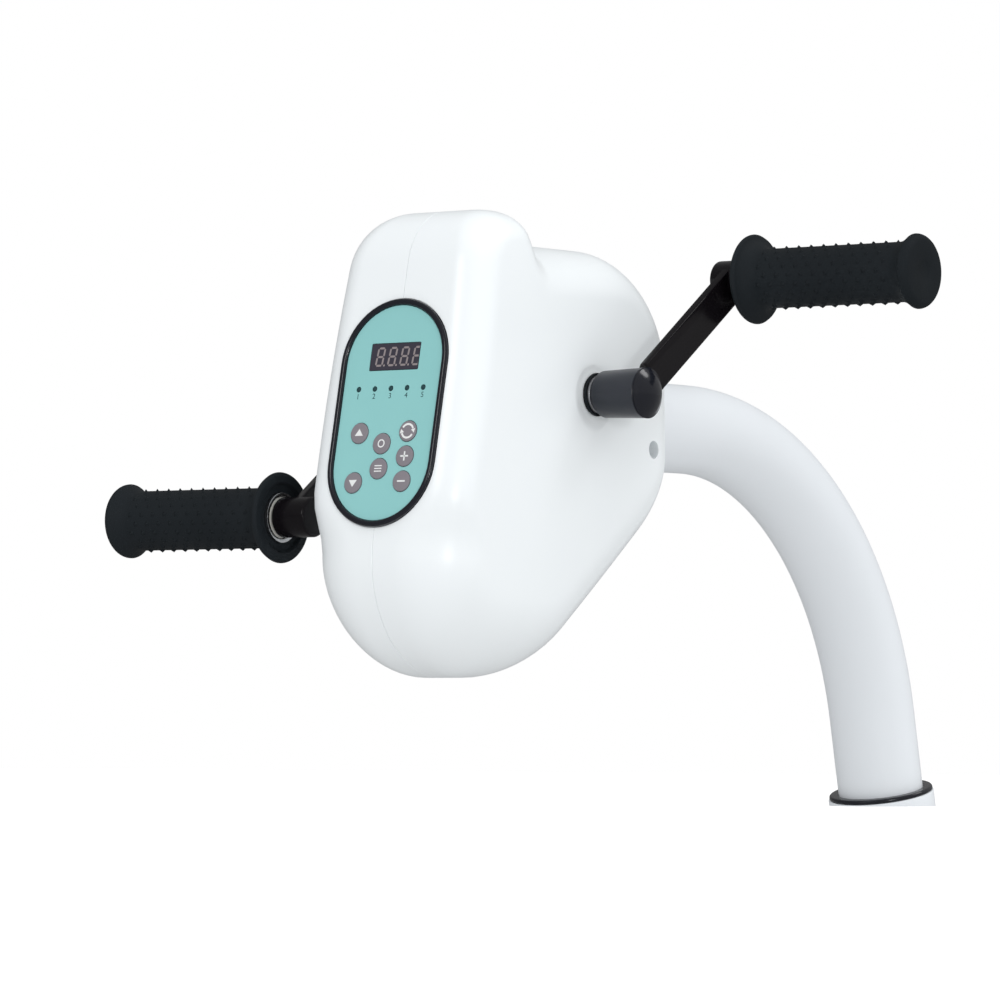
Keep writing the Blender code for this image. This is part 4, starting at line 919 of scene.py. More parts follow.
# Gooseneck
@dataclass
class Gooseneck:
    """The outer column's stub, its bush and the bent tube."""

    shop: Workshop
    lean: float = radians(12.0)
    column_radius: float = 0.03175
    column_wall: float = 0.0022
    column_rise: float = 0.0072
    bush_flange: float = 0.0024
    bush_overhang: float = 0.0006
    flange_edge: float = 0.0003  # under the flange
    flange_round: float = 0.0013  # over it
    bush_edge: float = 0.0005  # round the tube
    tube_wall: float = 0.0020
    facets: int = 72
    straight: float = 0.0557  # along the lean, from the foot to the bend
    bend_radius: float = 0.207
    bend_steps: int = 48
    bend_to_crank: float = 0.1587  # from the bend's end forward to the crank axis
    tail_end: float = 0.0758  # behind the crank axis
    plate_half: tuple[float, float] = (0.0320, 0.0290)
    plate_corner: float = 0.010
    plate_thickness: float = 0.005
    edge_round: float = 0.0006
    lead_hole_radius: float = 0.008
    bolt_hole_radius: float = 0.0045
    bolt_x: float = 0.0165

    def below(self) -> float:
        """Where the sections start along the leaning axis, under the level foot."""
        return -2 * self.column_radius * tan(self.lean)

    def level(self, bm: bmesh.types.BMesh) -> bmesh.types.BMesh:
        """Cut a mesh off level at the foot and close the cut.

        Args:
            bm: a tube that reaches below the foot.

        Returns:
            The same mesh.
        """
        bmesh.ops.bisect_plane(bm, geom=[*bm.verts, *bm.edges, *bm.faces], plane_co=(0, 0, 0),
                               plane_no=(0, 0, 1), clear_inner=True)
        bmesh.ops.bridge_loops(bm, edges=[e for e in bm.edges if len(e.link_faces) == 1])
        return bm

    def route(self) -> list[Matrix]:
        """Lay frames along the tube.

        Returns:
            Frames with their Z axis along the tube, from the foot to the tail.
        """
        frames = []

        def add(y: float, z: float, heading: float) -> None:
            """Adds the frame at a point, with the tube's heading there."""
            frames.append(Matrix.Translation((0, y, z)) @ Matrix.Rotation(heading - pi / 2, 4, "X"))

        heading = pi / 2 + self.lean
        add(self.below() * cos(heading), self.below() * sin(heading), heading)
        start = Vector((self.straight * cos(heading), self.straight * sin(heading)))
        centre = start + self.bend_radius * Vector((-sin(heading), cos(heading)))
        for k in range(self.bend_steps + 1):
            now = heading + (pi - heading) * k / self.bend_steps
            spot = centre - self.bend_radius * Vector((-sin(now), cos(now)))
            add(spot.x, spot.y, now)
        add(spot.x - self.bend_to_crank + self.tail_end + self.plate_thickness / 2, spot.y, pi)
        return frames

    def tube(self) -> bmesh.types.BMesh:
        """The bent tube with its end plate and the plate's holes."""
        frames = self.route()
        bm = bmesh.new()
        around = [2 * pi * k / self.facets for k in range(self.facets)]

        def circle(frame: Matrix, radius: float) -> Places:
            """The tube's section at a frame."""
            return [frame @ Vector((radius * cos(a), radius * sin(a), 0)) for a in around]

        start = first_ring(bm, circle(frames[0], TUBE_RADIUS))
        last = start
        for frame in frames[1:]:
            last = next_ring(bm, last, circle(frame, TUBE_RADIUS))
        for frame in reversed(frames):
            last = next_ring(bm, last, circle(frame, TUBE_RADIUS - self.tube_wall))
        ends = [bm.edges.get(pair) for loop in (start, last) for pair in zip(loop, loop[1:] + loop[:1])]
        bmesh.ops.bridge_loops(bm, edges=ends)
        self.level(bm)
        place = self.shop.head_place() @ Matrix.Translation((0, self.tail_end, -TUBE_DROP)) @ ALONG_Y
        plate = prism(rounded_box(*self.plate_half, self.plate_corner), 0.0, self.plate_thickness)
        soften(plate, self.edge_round)
        bmesh.ops.transform(plate, matrix=place, verts=plate.verts)
        bm = combined(bm, plate, "UNION")
        holes = turned(rod(-REACH, self.plate_thickness + 2 * REACH, self.lead_hole_radius), 32, place)
        for side in Side:
            spot = place @ Matrix.Translation((side.value * self.bolt_x, 0, 0))
            turned(rod(-REACH, self.plate_thickness + REACH, self.bolt_hole_radius), 24, spot, holes)
        return combined(bm, holes, "DIFFERENCE")

    def build(self) -> None:
        """Make the column's stub, the bush and the tube."""
        axis = Matrix.Rotation(self.lean, 4, "X")
        below, outer = self.below(), self.column_radius
        bore = outer - self.column_wall
        column = turned(ring(below, self.column_rise, bore, outer), 96, axis)
        soften(column, self.edge_round, keep=lambda e: min(v.co.z for v in e.verts) > 0)
        self.shop.piece("column_stub", self.level(column), "white_paint", "column",
                        stands_for=["column_collar"])
        inner = TUBE_RADIUS + GAP
        flange = outer - self.bush_overhang
        rim = self.column_rise + GAP
        top = rim + self.bush_flange
        profile = [(below, inner), (below, bore - GAP), (rim, bore - GAP), (rim, flange - self.flange_edge),
                   (rim + self.flange_edge, flange), *round_end(top, flange, self.flange_round, 5),
                   (top, inner + self.bush_edge), (top - self.bush_edge, inner)]
        self.shop.piece("guide_bush", self.level(turned(profile, 96, axis)), "black_plastic", "column",
                        stands_for=["column_bush"])
        self.shop.piece("bent_tube", self.tube(), "white_paint", "head", stands_for=["gooseneck_tube"])


# Cranks
@dataclass
class Crank:
    """One crank arm with its hub, cap, bolt, seal, spindle and nut."""

    shop: Workshop
    side: Side
    axle_radius: float = 0.0085
    axle_half: float = 0.0772
    arm_length: float = 0.117
    arm_width: float = 0.0202
    arm_thickness: float = 0.0050
    arm_x: float = 0.0762
    arm_corner: float = 0.0040
    arm_round: float = 0.0011
    arm_start: float = 0.0025  # inside the hub, this far past the axle
    arm_past: float = 0.2  # the share of the boss's radius that it reaches past the spindle's axis
    hub_start: float = 0.0549
    hub_end: float = 0.0848
    hub_radius: float = 0.0138
    hub_edge: float = 0.0006
    hub_steps: Steps = ((0.0, 0.0029), (0.0003, 0.0026), (0.0014, 0.0026), (0.0022, 0.0012),
                        (0.0030, 0.0009))  # from the hub's start, and under its radius
    cap_dome: float = 0.0058
    cap_overhang: float = 0.0002
    cap_edge: float = 0.0004
    cap_rings: int = 14
    bolt_head_radius: float = 0.0072
    bolt_head_height: float = 0.0042
    bolt_shank_radius: float = 0.0040
    bolt_shank_length: float = 0.018
    bolt_edge: float = 0.0005
    seal_radius: float = 0.0119
    seal_start: float = 0.0514
    seal_length: float = 0.0030
    lip_length: float = 0.0015  # of the rubber, before its steel case
    lip_edge: float = 0.0003
    case_inset: float = 0.0013  # from the rubber's radius to the case's
    case_edge: float = 0.0002
    boss_radius: float = 0.0111
    boss_start: float = 0.0686
    boss_end: float = 0.0905
    boss_round: float = 0.0016  # at its inner end
    boss_edge: float = 0.0005  # at its outer end
    boss_floor: float = 0.0045
    spindle_radius: float = 0.0060
    spindle_end: float = 0.1927
    spindle_edge: float = 0.0006
    nut_radius: float = 0.0085
    nut_height: float = 0.0065
    nut_inset: float = 0.0015  # from the spindle's end
    nut_edge: float = 0.0005

    def hub(self) -> bmesh.types.BMesh:
        """The hub that the bar is welded to."""
        bore = self.axle_radius + GAP
        neck = [(self.hub_start + along, self.hub_radius - under) for along, under in self.hub_steps]
        hub = [(self.hub_start, bore), *neck, (self.hub_end - self.hub_edge, self.hub_radius),
               (self.hub_end, self.hub_radius - self.hub_edge), (self.hub_end, bore)]
        return turned(hub, 72, ALONG_X)

    def arm(self) -> bmesh.types.BMesh:
        """The flat bar and the spindle's boss, up to the hub."""
        start = self.axle_radius + self.arm_start
        end = self.arm_length + self.boss_radius * self.arm_past
        middle = ((start + end) / 2, 0.0)
        outline = rounded_box((end - start) / 2, self.arm_width / 2, self.arm_corner, middle)
        bar = prism(outline, 0.0, self.arm_thickness)
        soften(bar, self.arm_round, 4)
        bmesh.ops.transform(bar, matrix=Matrix.Translation((self.arm_x, 0, 0)) @ ACROSS, verts=bar.verts)
        hub = turned(rod(self.hub_start, self.hub_end, self.hub_radius), 72, ALONG_X)
        bm = combined(bar, hub, "DIFFERENCE")
        tip = self.tip()
        boss = [(self.boss_start, 0.0), *round_start(self.boss_start, self.boss_radius, self.boss_round, 5),
                (self.boss_end - self.boss_edge, self.boss_radius),
                (self.boss_end, self.boss_radius - self.boss_edge), (self.boss_end, 0.0)]
        bm = combined(bm, turned(boss, 64, tip), "UNION")
        hole = rod(self.boss_start + self.boss_floor, self.boss_end + REACH, self.spindle_radius + GAP)
        return combined(bm, turned(hole, 40, tip), "DIFFERENCE")

    def cap(self) -> bmesh.types.BMesh:
        """The domed cap that plugs the hub."""
        seat = self.hub_end + GAP
        plug = self.axle_half + GAP + self.bolt_head_height + GAP
        radius, inner, edge = self.hub_radius + self.cap_overhang, self.axle_radius - GAP, self.cap_edge
        bulge = (radius ** 2 + self.cap_dome ** 2) / (2 * self.cap_dome)
        widest = asin(radius / bulge)
        profile = [(plug, 0.0), (plug, inner - edge), (plug + edge, inner), (seat, inner),
                   (seat, radius - edge), (seat + edge, radius)]
        for k in range(self.cap_rings - 1, 0, -1):
            angle = widest * k / self.cap_rings
            profile.append((seat + self.cap_dome - bulge + bulge * cos(angle), bulge * sin(angle)))
        profile.append((seat + self.cap_dome, 0.0))
        return turned(profile, 72, ALONG_X)

    def seal(self) -> bmesh.types.BMesh:
        """The seal's rubber lip, towards the housing."""
        bore = self.axle_radius + GAP
        start, radius, edge = self.seal_start, self.seal_radius, self.lip_edge
        end = start + self.lip_length
        return turned([(start, bore), (start, radius - edge), (start + edge, radius), (end - edge, radius),
                       (end, radius - edge), (end, bore)], 72, ALONG_X)

    def seal_case(self) -> bmesh.types.BMesh:
        """The seal's steel case, towards the hub."""
        bore = self.axle_radius + GAP
        start, end = self.seal_start + self.lip_length, self.seal_start + self.seal_length
        radius, edge = self.seal_radius - self.case_inset, self.case_edge
        return turned([(start, bore), (start, radius), (end - edge, radius), (end, radius - edge),
                       (end, bore)], 72, ALONG_X)

    def bolt(self) -> bmesh.types.BMesh:
        """The bolt that holds the crank on the axle."""
        shank, head, edge = self.bolt_shank_radius, self.bolt_head_radius, self.bolt_edge
        start, seat = self.axle_half - self.bolt_shank_length, self.axle_half + GAP
        top = seat + self.bolt_head_height
        return turned([(start, 0.0), (start, shank - edge), (start + edge, shank), (seat, shank),
                       (seat, head), (top - edge, head), (top, head - edge), (top, 0.0)], 40, ALONG_X)

    def tip(self) -> Matrix:
        """The place of what is turned about the spindle's axis."""
        return Matrix.Translation((0, self.arm_length, 0)) @ ALONG_X

    def spindle(self) -> bmesh.types.BMesh:
        """The spindle that the grip turns on."""
        start, end = self.boss_start + self.boss_floor + GAP, self.spindle_end
        radius, edge = self.spindle_radius, self.spindle_edge
        return turned([(start, 0.0), (start, radius - edge), (start + edge, radius), (end - edge, radius),
                       (end, radius - edge), (end, 0.0)], 48, self.tip())

    def nut(self) -> bmesh.types.BMesh:
        """The nut on the spindle's end."""
        high = self.spindle_end - self.nut_inset
        low = high - self.nut_height
        outline = [(self.nut_radius * cos(pi * k / 3), self.nut_radius * sin(pi * k / 3)) for k in range(6)]
        nut = soften(prism(outline, low, high, self.tip()), self.nut_edge, 2)
        hole = turned(rod(low - REACH, high + REACH, self.spindle_radius + GAP), 40, self.tip())
        return combined(nut, hole, "DIFFERENCE")

    def build(self) -> None:
        """Make the crank's pieces."""
        word = self.side.word
        place = self.shop.crank_place(self.side)
        piece = self.shop.piece
        piece(f"{word}_crank_arm", self.arm(), "black_paint", "crank", place, [f"crank_arm_{word}"])
        # the hub belongs to the arm's solid but takes the lighter copy of its paint, a painted reflection
        piece(f"{word}_crank_hub", self.hub(), "black_paint", "crank", place, finish="hub_black")
        piece(f"{word}_cap", self.cap(), "black_plastic", "crank", place, [f"hub_cap_{word}"])
        piece(f"{word}_seal", self.seal(), "black_rubber", "crank", place, [f"hub_seal_{word}"])
        piece(f"{word}_seal_case", self.seal_case(), "motor_steel", "crank", place)
        piece(f"{word}_crank_bolt", self.bolt(), "bright_steel", "crank", place, [f"crank_bolt_{word}"])
        piece(f"{word}_spindle", self.spindle(), "bright_steel", "crank", place, [f"grip_spindle_{word}"])
        piece(f"{word}_spindle_nut", self.nut(), "bright_steel", "crank", place, [f"spindle_nut_{word}"])


# Grips
@dataclass
class Grip:
    """One studded rubber grip on its steel sleeve and two bushes."""

    crank: Crank
    start: float = 0.0908
    end: float = 0.2030
    radius: float = 0.0166
    flange_radius: float = 0.0250
    flange_thickness: float = 0.0068
    flange_round: float = 0.0021  # towards the housing
    flange_crest: float = 0.0034  # where it starts to fall, from its start
    flange_fall: float = 0.0090  # the length of its fall to the barrel
    fall_power: float = 1.15
    recess_radius: float = 0.0190
    recess_depth: float = 0.0022
    recess_steps: Steps = ((0.0022, -0.0012), (0.0018, -0.0006), (0.0004, 0.0),
                           (0.0, 0.0005))  # from the grip's start, and past the recess's radius
    flare_start: float = 0.014  # before the end
    flare_length: float = 0.0095
    flare_power: float = 1.8
    end_radius: float = 0.0207
    end_round: float = 0.0045
    end_wall: float = 0.0070
    dimple: tuple[float, float] = (0.0060, 0.0052)  # its radius at the end's face and at its floor
    dimple_depth: float = 0.0005
    facets: int = 80
    stud_rings: int = 21  # rings of small studs, each set between those of the last
    studs_round: int = 10
    stud_height: float = 0.0013
    stud_half: float = 0.0011
    stud_margins: tuple[float, float] = (0.0070, 0.0030)  # bare rubber at the flange and at the flare
    sleeve_radius: float = 0.0138
    sleeve_wall: float = 0.0022
    sleeve_start: float = 0.0912
    sleeve_edge: float = 0.0004
    bush_length: float = 0.0140
    bush_places: tuple[float, float] = (0.0920, 0.1704)

    def rubber(self) -> bmesh.types.BMesh:
        """The rubber: flange, studded barrel and flared end."""
        inner_end, inside = self.end - self.end_wall, self.sleeve_radius + GAP
        profile = [(inner_end, 0.0), (inner_end, inside), (self.start + self.recess_depth, inside)]
        profile += [(self.start + along, self.recess_radius + out) for along, out in self.recess_steps]
        profile += round_start(self.start, self.flange_radius, self.flange_round, 8)
        fall = self.flange_radius - self.radius
        for angle in quarter_turn(12, 1):
            profile.append((self.start + self.flange_crest + self.flange_fall * (1 - cos(angle)),
                            self.flange_radius - fall * sin(angle) ** self.fall_power))
        flare = self.end - self.flare_start
        first = self.start + self.flange_thickness + self.stud_margins[0]
        last = flare - self.stud_margins[1]
        crests = [first + (last - first) * k / (self.stud_rings - 1) for k in range(self.stud_rings)]
        for crest in crests:
            profile += [(crest - self.stud_half, self.radius), (crest, self.radius),
                        (crest + self.stud_half, self.radius)]
        swell = self.end_radius - self.radius
        for k in range(9):
            share = k / 8
            out = swell * share ** self.flare_power
            profile.append((flare + self.flare_length * share, self.radius + out))
        profile += round_end(self.end, self.end_radius, self.end_round, 8, 1)
        mouth, floor = self.dimple
        low = self.end - self.dimple_depth
        profile += [(self.end, mouth), (low, floor), (low, 0.0)]
        return self.studded(turned(profile, self.facets, ALONG_X), crests)

    def studded(self, bm: bmesh.types.BMesh, crests: list[float]) -> bmesh.types.BMesh:
        """Raise single points of the barrel to studs.

        Args:
            bm: the rubber, turned along +X.
            crests: where the rings of studs are.

        Returns:
            The same mesh.
        """
        step = self.facets // self.studs_round
        roll = step // 2 if self.crank.side is Side.RIGHT else step // 4
        for vertex in bm.verts:
            ring_number = min(range(len(crests)), key=lambda k: abs(crests[k] - vertex.co.x))
            out = Vector((0.0, vertex.co.y, vertex.co.z))
            if abs(crests[ring_number] - vertex.co.x) > WELD or out.length < self.radius - WELD:
                continue
            facet = round(atan2(out.z, out.y) / (2 * pi) * self.facets)
            shift = roll + (step // 2 if ring_number % 2 else 0)
            if (facet - shift) % step == 0:
                vertex.co += out.normalized() * self.stud_height
        return bm

    def build(self) -> None:
        """Make the grip's pieces."""
        shop, word = self.crank.shop, self.crank.side.word
        body = f"{word}_grip"
        place = shop.crank_place(self.crank.side) @ Matrix.Translation((0, self.crank.arm_length, 0))
        piece = shop.piece
        piece(f"{word}_grip_rubber", self.rubber(), "black_rubber", body, place, [f"grip_{word}"])
        bore = self.sleeve_radius - self.sleeve_wall
        sleeve = ring(self.sleeve_start, self.end - self.end_wall - GAP, bore, self.sleeve_radius)
        sleeve = soften(turned(sleeve, 72, ALONG_X), self.sleeve_edge, 2, radians(60))
        piece(f"{word}_sleeve", sleeve, "bright_steel", body, place, [f"grip_sleeve_{word}"])
        for name, start in zip(("inner", "outer"), self.bush_places):
            bush = ring(start, start + self.bush_length, self.crank.spindle_radius + GAP, bore - GAP)
            bush = soften(turned(bush, 56, ALONG_X), self.sleeve_edge, 2, radians(60))
            piece(f"{word}_{name}_bush", bush, "nylon", body, place, [f"grip_bush_{name}_{word}"])


# Control panel
class Mark(Enum):
    """What is printed on a key."""

    UP = "up"
    DOWN = "down"
    RING = "ring"
    BARS = "bars"
    ROUND = "round"
    PLUS = "plus"
    MINUS = "minus"


@dataclass
class Key:
    """A round key: its place on the panel, its mark and the body that it rides on."""

    node: str
    body: str
    x: float
    y: float
    mark: Mark


@dataclass
class ControlPanel:
    """The panel in its own plane: x across, y up the face, z out of it."""

    shop: Workshop
    housing: Housing
    half_width: float = 0.0353
    half_height: float = 0.0632
    bezel_band: float = 0.0034
    bezel_proud: float = 0.0018
    bezel_round: float = 0.0013
    rebate: float = 0.0012
    mouth_flare: float = 0.0005  # the opening widens by this at the housing's face
    mouth_levels: tuple[float, float] = (-0.0002, 0.0003)  # between these heights
    mouth_stand: float = 0.012  # its cutter stands this far out of the face
    tray_depth: float = 0.0140
    tray_room: float = 0.004  # behind the tray
    tray_wall: float = 0.0014
    pocket_inset: float = 0.0016  # the tray's pocket is this far inside the film's edge
    film_thickness: float = 0.0012
    film_top: float = 0.0003
    display_centre: tuple[float, float] = (0.0, 0.0310)
    display_half: tuple[float, float] = (0.0162, 0.0074)
    display_corners: tuple[float, float] = (0.0006, 0.0008)  # of the window and of the film's hole
    display_edge: float = 0.0002
    digit_height: float = 0.0096
    digit_width: float = 0.0042
    digit_pitch: float = 0.0081
    digit_shift: float = 0.0024  # to the right of the window's middle
    digit_margin: float = 0.0004  # the last digit is cut off this far inside the window
    digit_count: int = 4
    digit_slant: float = radians(6.0)
    digit_depth: float = 0.00002  # the figures are sunk this far in the window's face
    segment_width: float = 0.0011
    segment_gap: float = 0.00025  # at each end of a bar
    point_radius: float = 0.000605
    point_shift: float = 0.0014  # to the right of the digit
    indicator_row: float = 0.0133
    indicator_pitch: float = 0.0108
    indicator_radius: float = 0.0013
    indicator_count: int = 5
    lamp_foot: tuple[float, float] = (0.0010, 0.0006)  # its height, and how far it is past the lamp
    lamp_shoulder: float = 0.0001  # under the film's face
    lamp_dome: float = 0.0004
    figure_size: float = 0.0042
    board_top: float = -0.0050
    key_radius: float = 0.0057
    key_proud: float = 0.0006
    key_rim: float = 0.0008
    key_rim_height: float = 0.0009
    key_round: float = 0.0004
    print_height: float = 0.00006
    keys: tuple[Key, ...] = (
        Key("key_up", "up_key", -0.0170, -0.0112, Mark.UP),
        Key("key_mode", "mode_key", -0.0012, -0.0173, Mark.RING),
        Key("key_time", "time_key", -0.0012, -0.0311, Mark.BARS),
        Key("key_down", "down_key", -0.0170, -0.0386, Mark.DOWN),
        Key("key_direction", "direction_key", 0.0154, -0.0108, Mark.ROUND),
        Key("key_plus", "plus_key", 0.0154, -0.0246, Mark.PLUS),
        Key("key_minus", "minus_key", 0.0154, -0.0384, Mark.MINUS),
    )

    def place(self) -> Matrix:
        """The panel's frame."""
        lean = atan(self.housing.face_slope)
        return (self.shop.head_place() @ Matrix.Translation((0, self.housing.face_y, self.housing.face_z))
                @ Matrix.Rotation(pi / 2 - lean, 4, "X"))

    def tray_half(self, margin: float = 0.0) -> tuple[float, float]:
        """Half sizes of the tray behind the bezel."""
        inset = self.bezel_band - self.tray_wall
        return self.half_width - inset + margin, self.half_height - inset + margin

    def opening(self) -> bmesh.types.BMesh:
        """What is cut out of the housing for the panel, in the head's frame."""
        behind = stadium(*self.tray_half(GAP))
        rebate = stadium(self.half_width + GAP, self.half_height + GAP)
        mouth = stadium(self.half_width + GAP + self.mouth_flare, self.half_height + GAP + self.mouth_flare)
        low, high = self.mouth_levels
        return stacked([(behind, -self.tray_depth - self.tray_room), (behind, -self.rebate),
                        (rebate, -self.rebate), (rebate, low), (mouth, high), (mouth, self.mouth_stand)],
                       self.shop.head_place().inverted() @ self.place())

    def tray(self) -> bmesh.types.BMesh:
        """The bezel with its rounded top and the tray behind it."""
        low = -self.rebate + GAP
        top, reach, band = self.bezel_proud, self.bezel_round, self.bezel_band

        def band_at(inset: float) -> Outline:
            """The panel's outline drawn in by a distance."""
            return stadium(self.half_width - inset, self.half_height - inset)

        levels = [(stadium(*self.tray_half()), -self.tray_depth), (stadium(*self.tray_half()), low),
                  (band_at(0.0), low)]
        for angle in quarter_turn(6):
            levels.append((band_at(reach * (1 - cos(angle))), top - reach * (1 - sin(angle))))
        for angle in quarter_turn(6):
            levels.append((band_at(band - reach * (1 - sin(angle))), top - reach * (1 - cos(angle))))
        ledge = self.film_top - self.film_thickness - GAP
        pocket = band_at(band + self.pocket_inset)
        levels += [(band_at(band), ledge), (pocket, ledge), (pocket, -self.tray_depth + self.tray_wall)]
        return stacked(levels)

    def film(self) -> bmesh.types.BMesh:
        """The printed film with its display window, key holes and indicator holes."""
        low = self.film_top - self.film_thickness
        inset = self.bezel_band + GAP
        bm = prism(stadium(self.half_width - inset, self.half_height - inset), low, self.film_top)
        start, end = low - REACH / 2, self.film_top + REACH / 2
        window = rounded_box(self.display_half[0] + GAP, self.display_half[1] + GAP, self.display_corners[1],
                             self.display_centre)
        tool = prism(window, start, end)
        for key in self.keys:
            turned(rod(start, end, self.key_radius + GAP), 48, Matrix.Translation((key.x, key.y, 0)), tool)
        for x in self.indicator_places():
            turned(rod(start, end, self.indicator_radius + GAP), 24,
                   Matrix.Translation((x, self.indicator_row, 0)), tool)
        return combined(bm, tool, "DIFFERENCE")

    def indicator_places(self) -> list[float]:
        """The row of indicators, centred on the panel."""
        return [(k - (self.indicator_count - 1) / 2) * self.indicator_pitch
                for k in range(self.indicator_count)]

    def lens(self) -> bmesh.types.BMesh:
        """The display's smoked window, with softened edges."""
        outline = rounded_box(*self.display_half, self.display_corners[0], self.display_centre)
        bm = prism(outline, self.film_top - self.film_thickness, self.film_top)
        return soften(bm, self.display_edge, 2, radians(60))

    def digits(self) -> bmesh.types.BMesh:
        """The seven bars of each digit on the window, with the points between them."""
        bm = bmesh.new()
        low = self.film_top - self.digit_depth
        half_w, half_h, bar = self.digit_width / 2, self.digit_height / 2, self.segment_width / 2
        slant = Matrix.Identity(4)
        slant[0][1] = tan(self.digit_slant)
        first = self.display_centre[0] - (self.digit_count - 1) / 2 * self.digit_pitch

        def bar_outline(length: float) -> Outline:
            """A bar with pointed ends, along x."""
            half = length / 2 - self.segment_gap
            return [(-half, 0.0), (-half + bar, -bar), (half - bar, -bar), (half, 0.0), (half - bar, bar),
                    (-half + bar, bar)]

        for k in range(self.digit_count):
            across = first + k * self.digit_pitch + self.digit_shift
            middle = Matrix.Translation((across, self.display_centre[1], 0)) @ slant
            for y in (-half_h, 0.0, half_h):
                prism(bar_outline(self.digit_width), low, low + self.print_height,
                      middle @ Matrix.Translation((0, y, 0)), bm)
            for x in (-half_w, half_w):
                for y in (-half_h / 2, half_h / 2):
                    upright = Matrix.Translation((x, y, 0)) @ Matrix.Rotation(pi / 2, 4, "Z")
                    prism(bar_outline(half_h), low, low + self.print_height, middle @ upright, bm)
            if k < self.digit_count - 1:
                turned(rod(low, low + self.print_height, self.point_radius), 16,
                       middle @ Matrix.Translation((half_w + self.point_shift, -half_h, 0)), bm)
        edge = self.display_centre[0] + self.display_half[0] - self.digit_margin
        cut = bmesh.ops.bisect_plane(bm, geom=[*bm.verts, *bm.edges, *bm.faces], plane_co=(edge, 0, 0),
                                     plane_no=(1, 0, 0), clear_outer=True)["geom_cut"]
        bmesh.ops.holes_fill(bm, edges=[part for part in cut if isinstance(part, bmesh.types.BMEdge)])
        return bm

    def numerals(self) -> bmesh.types.BMesh:
        """The figures under the indicators."""
        bm = bmesh.new()
        for number, x in enumerate(self.indicator_places(), 1):
            curve = bpy.data.curves.new("figure", "FONT")
            curve.body = str(number)
            curve.size = self.figure_size
            curve.align_x = "CENTER"
            curve.align_y = "CENTER"
            curve.extrude = self.print_height / 2
            drawn = bpy.data.objects.new("figure", curve)
            bpy.context.scene.collection.objects.link(drawn)
            graph = bpy.context.evaluated_depsgraph_get()
            mesh = bpy.data.meshes.new_from_object(drawn.evaluated_get(graph))
            mesh.transform(Matrix.Translation((x, self.indicator_row - self.figure_size, self.film_top)))
            bm.from_mesh(mesh)
            bpy.data.objects.remove(drawn)
        return bm

    def mark(self, mark: Mark, low: float) -> bmesh.types.BMesh:
        """The mark printed on a key.

        Args:
            mark: which mark.
            low: the height of the key's top.

        Returns:
            Its mesh, about the key's centre.
        """
        high = low + self.print_height
        low -= self.print_height / 2
        bm = bmesh.new()
        if mark in (Mark.UP, Mark.DOWN):
            way = 1 if mark is Mark.UP else -1
            half, foot, point = 0.0027, -0.0015 * way, 0.0024 * way
            prism([(-half, foot), (half, foot), (0.0, point)], low, high, bm=bm)
        elif mark is Mark.RING:
            inner, outer = 0.0016, 0.0023
            turned(ring(low, high, inner, outer), 40, bm=bm)
        elif mark is Mark.BARS:
            half_length, half_width, corner, pitch = 0.0024, 0.0003, 0.0001, 0.0015
            for y in (-pitch, 0.0, pitch):
                prism(rounded_box(half_length, half_width, corner, (0.0, y)), low, high, bm=bm)
        elif mark is Mark.ROUND:
            inner, outer = 0.0032, 0.0043
            angles = [radians(degrees) for degrees in range(20, 151, 10)]
            arc = [(outer * cos(angle), outer * sin(angle)) for angle in angles]
            arc += [(inner * cos(angle), inner * sin(angle)) for angle in reversed(angles)]
            head = [(0.0024, 0.0), (0.0051, 0.0), (0.0038, -0.0022)]
            head_turn = radians(16)
            for turn in (0.0, pi):
                prism(arc, low, high, Matrix.Rotation(turn, 4, "Z"), bm)
                prism(head, low, high, Matrix.Rotation(turn + head_turn, 4, "Z"), bm)
        else:
            half_length, half_width, corner = 0.0026, 0.00045, 0.0002
            prism(rounded_box(half_length, half_width, corner), low, high, bm=bm)
            if mark is Mark.PLUS:
                prism(rounded_box(half_width, half_length, corner), low, high, bm=bm)
        return bm

    def key_cap(self) -> bmesh.types.BMesh:
        """A key with its hidden rim and its softly rounded top."""
        rim_top = self.film_top - self.film_thickness - GAP
        low = rim_top - self.key_rim_height
        top = self.film_top + self.key_proud
        rim = self.key_radius + self.key_rim
        return turned([(low, 0.0), (low, rim), (rim_top, rim), (rim_top, self.key_radius),
                       *round_end(top, self.key_radius, self.key_round, 5), (top, 0.0)], 56)

    def lamp(self) -> bmesh.types.BMesh:
        """An indicator's lamp with its hidden foot and its domed top."""
        base = self.board_top + GAP
        height, rim = self.lamp_foot
        shoulder = self.film_top - self.lamp_shoulder
        profile = [(base, 0.0), (base, self.indicator_radius + rim),
                   (base + height, self.indicator_radius + rim), (base + height, self.indicator_radius),
                   (shoulder, self.indicator_radius)]
        for angle in quarter_turn(5, 1)[:-1]:
            profile.append((shoulder + self.lamp_dome * sin(angle), self.indicator_radius * cos(angle)))
        return turned([*profile, (shoulder + self.lamp_dome, 0.0)], 24)

    def build(self) -> None:
        """Make the panel's pieces."""
        place = self.place()
        piece = self.shop.piece
        piece("bezel_tray", self.tray(), "black_plastic", "head", place, ["panel_tray"], sharp=40.0)
        piece("printed_film", self.film(), "teal_film", "head", place, ["panel_overlay"])
        piece("display_window", self.lens(), "smoked_lens", "head", place, ["display_lens"], sharp=10.0)
        piece("display_digits", self.digits(), "smoked_lens", "head", place, finish="segment_grey")
        piece("indicator_figures", self.numerals(), "teal_film", "head", place, finish="dark_print")
        for number, x in enumerate(self.indicator_places(), 1):
            spot = place @ Matrix.Translation((x, self.indicator_row, 0))
            piece(f"indicator_lamp_{number}", self.lamp(), "smoked_lens", "head", spot,
                  [f"indicator_{number}"], finish="dark_print")
        for key in self.keys:
            spot = place @ Matrix.Translation((key.x, key.y, 0))
            piece(f"{key.body}_cap", self.key_cap(), "grey_key", key.body, spot, [key.node])
            piece(f"{key.body}_mark", self.mark(key.mark, self.film_top + self.key_proud), "grey_key",
                  key.body, spot, finish="white_print")


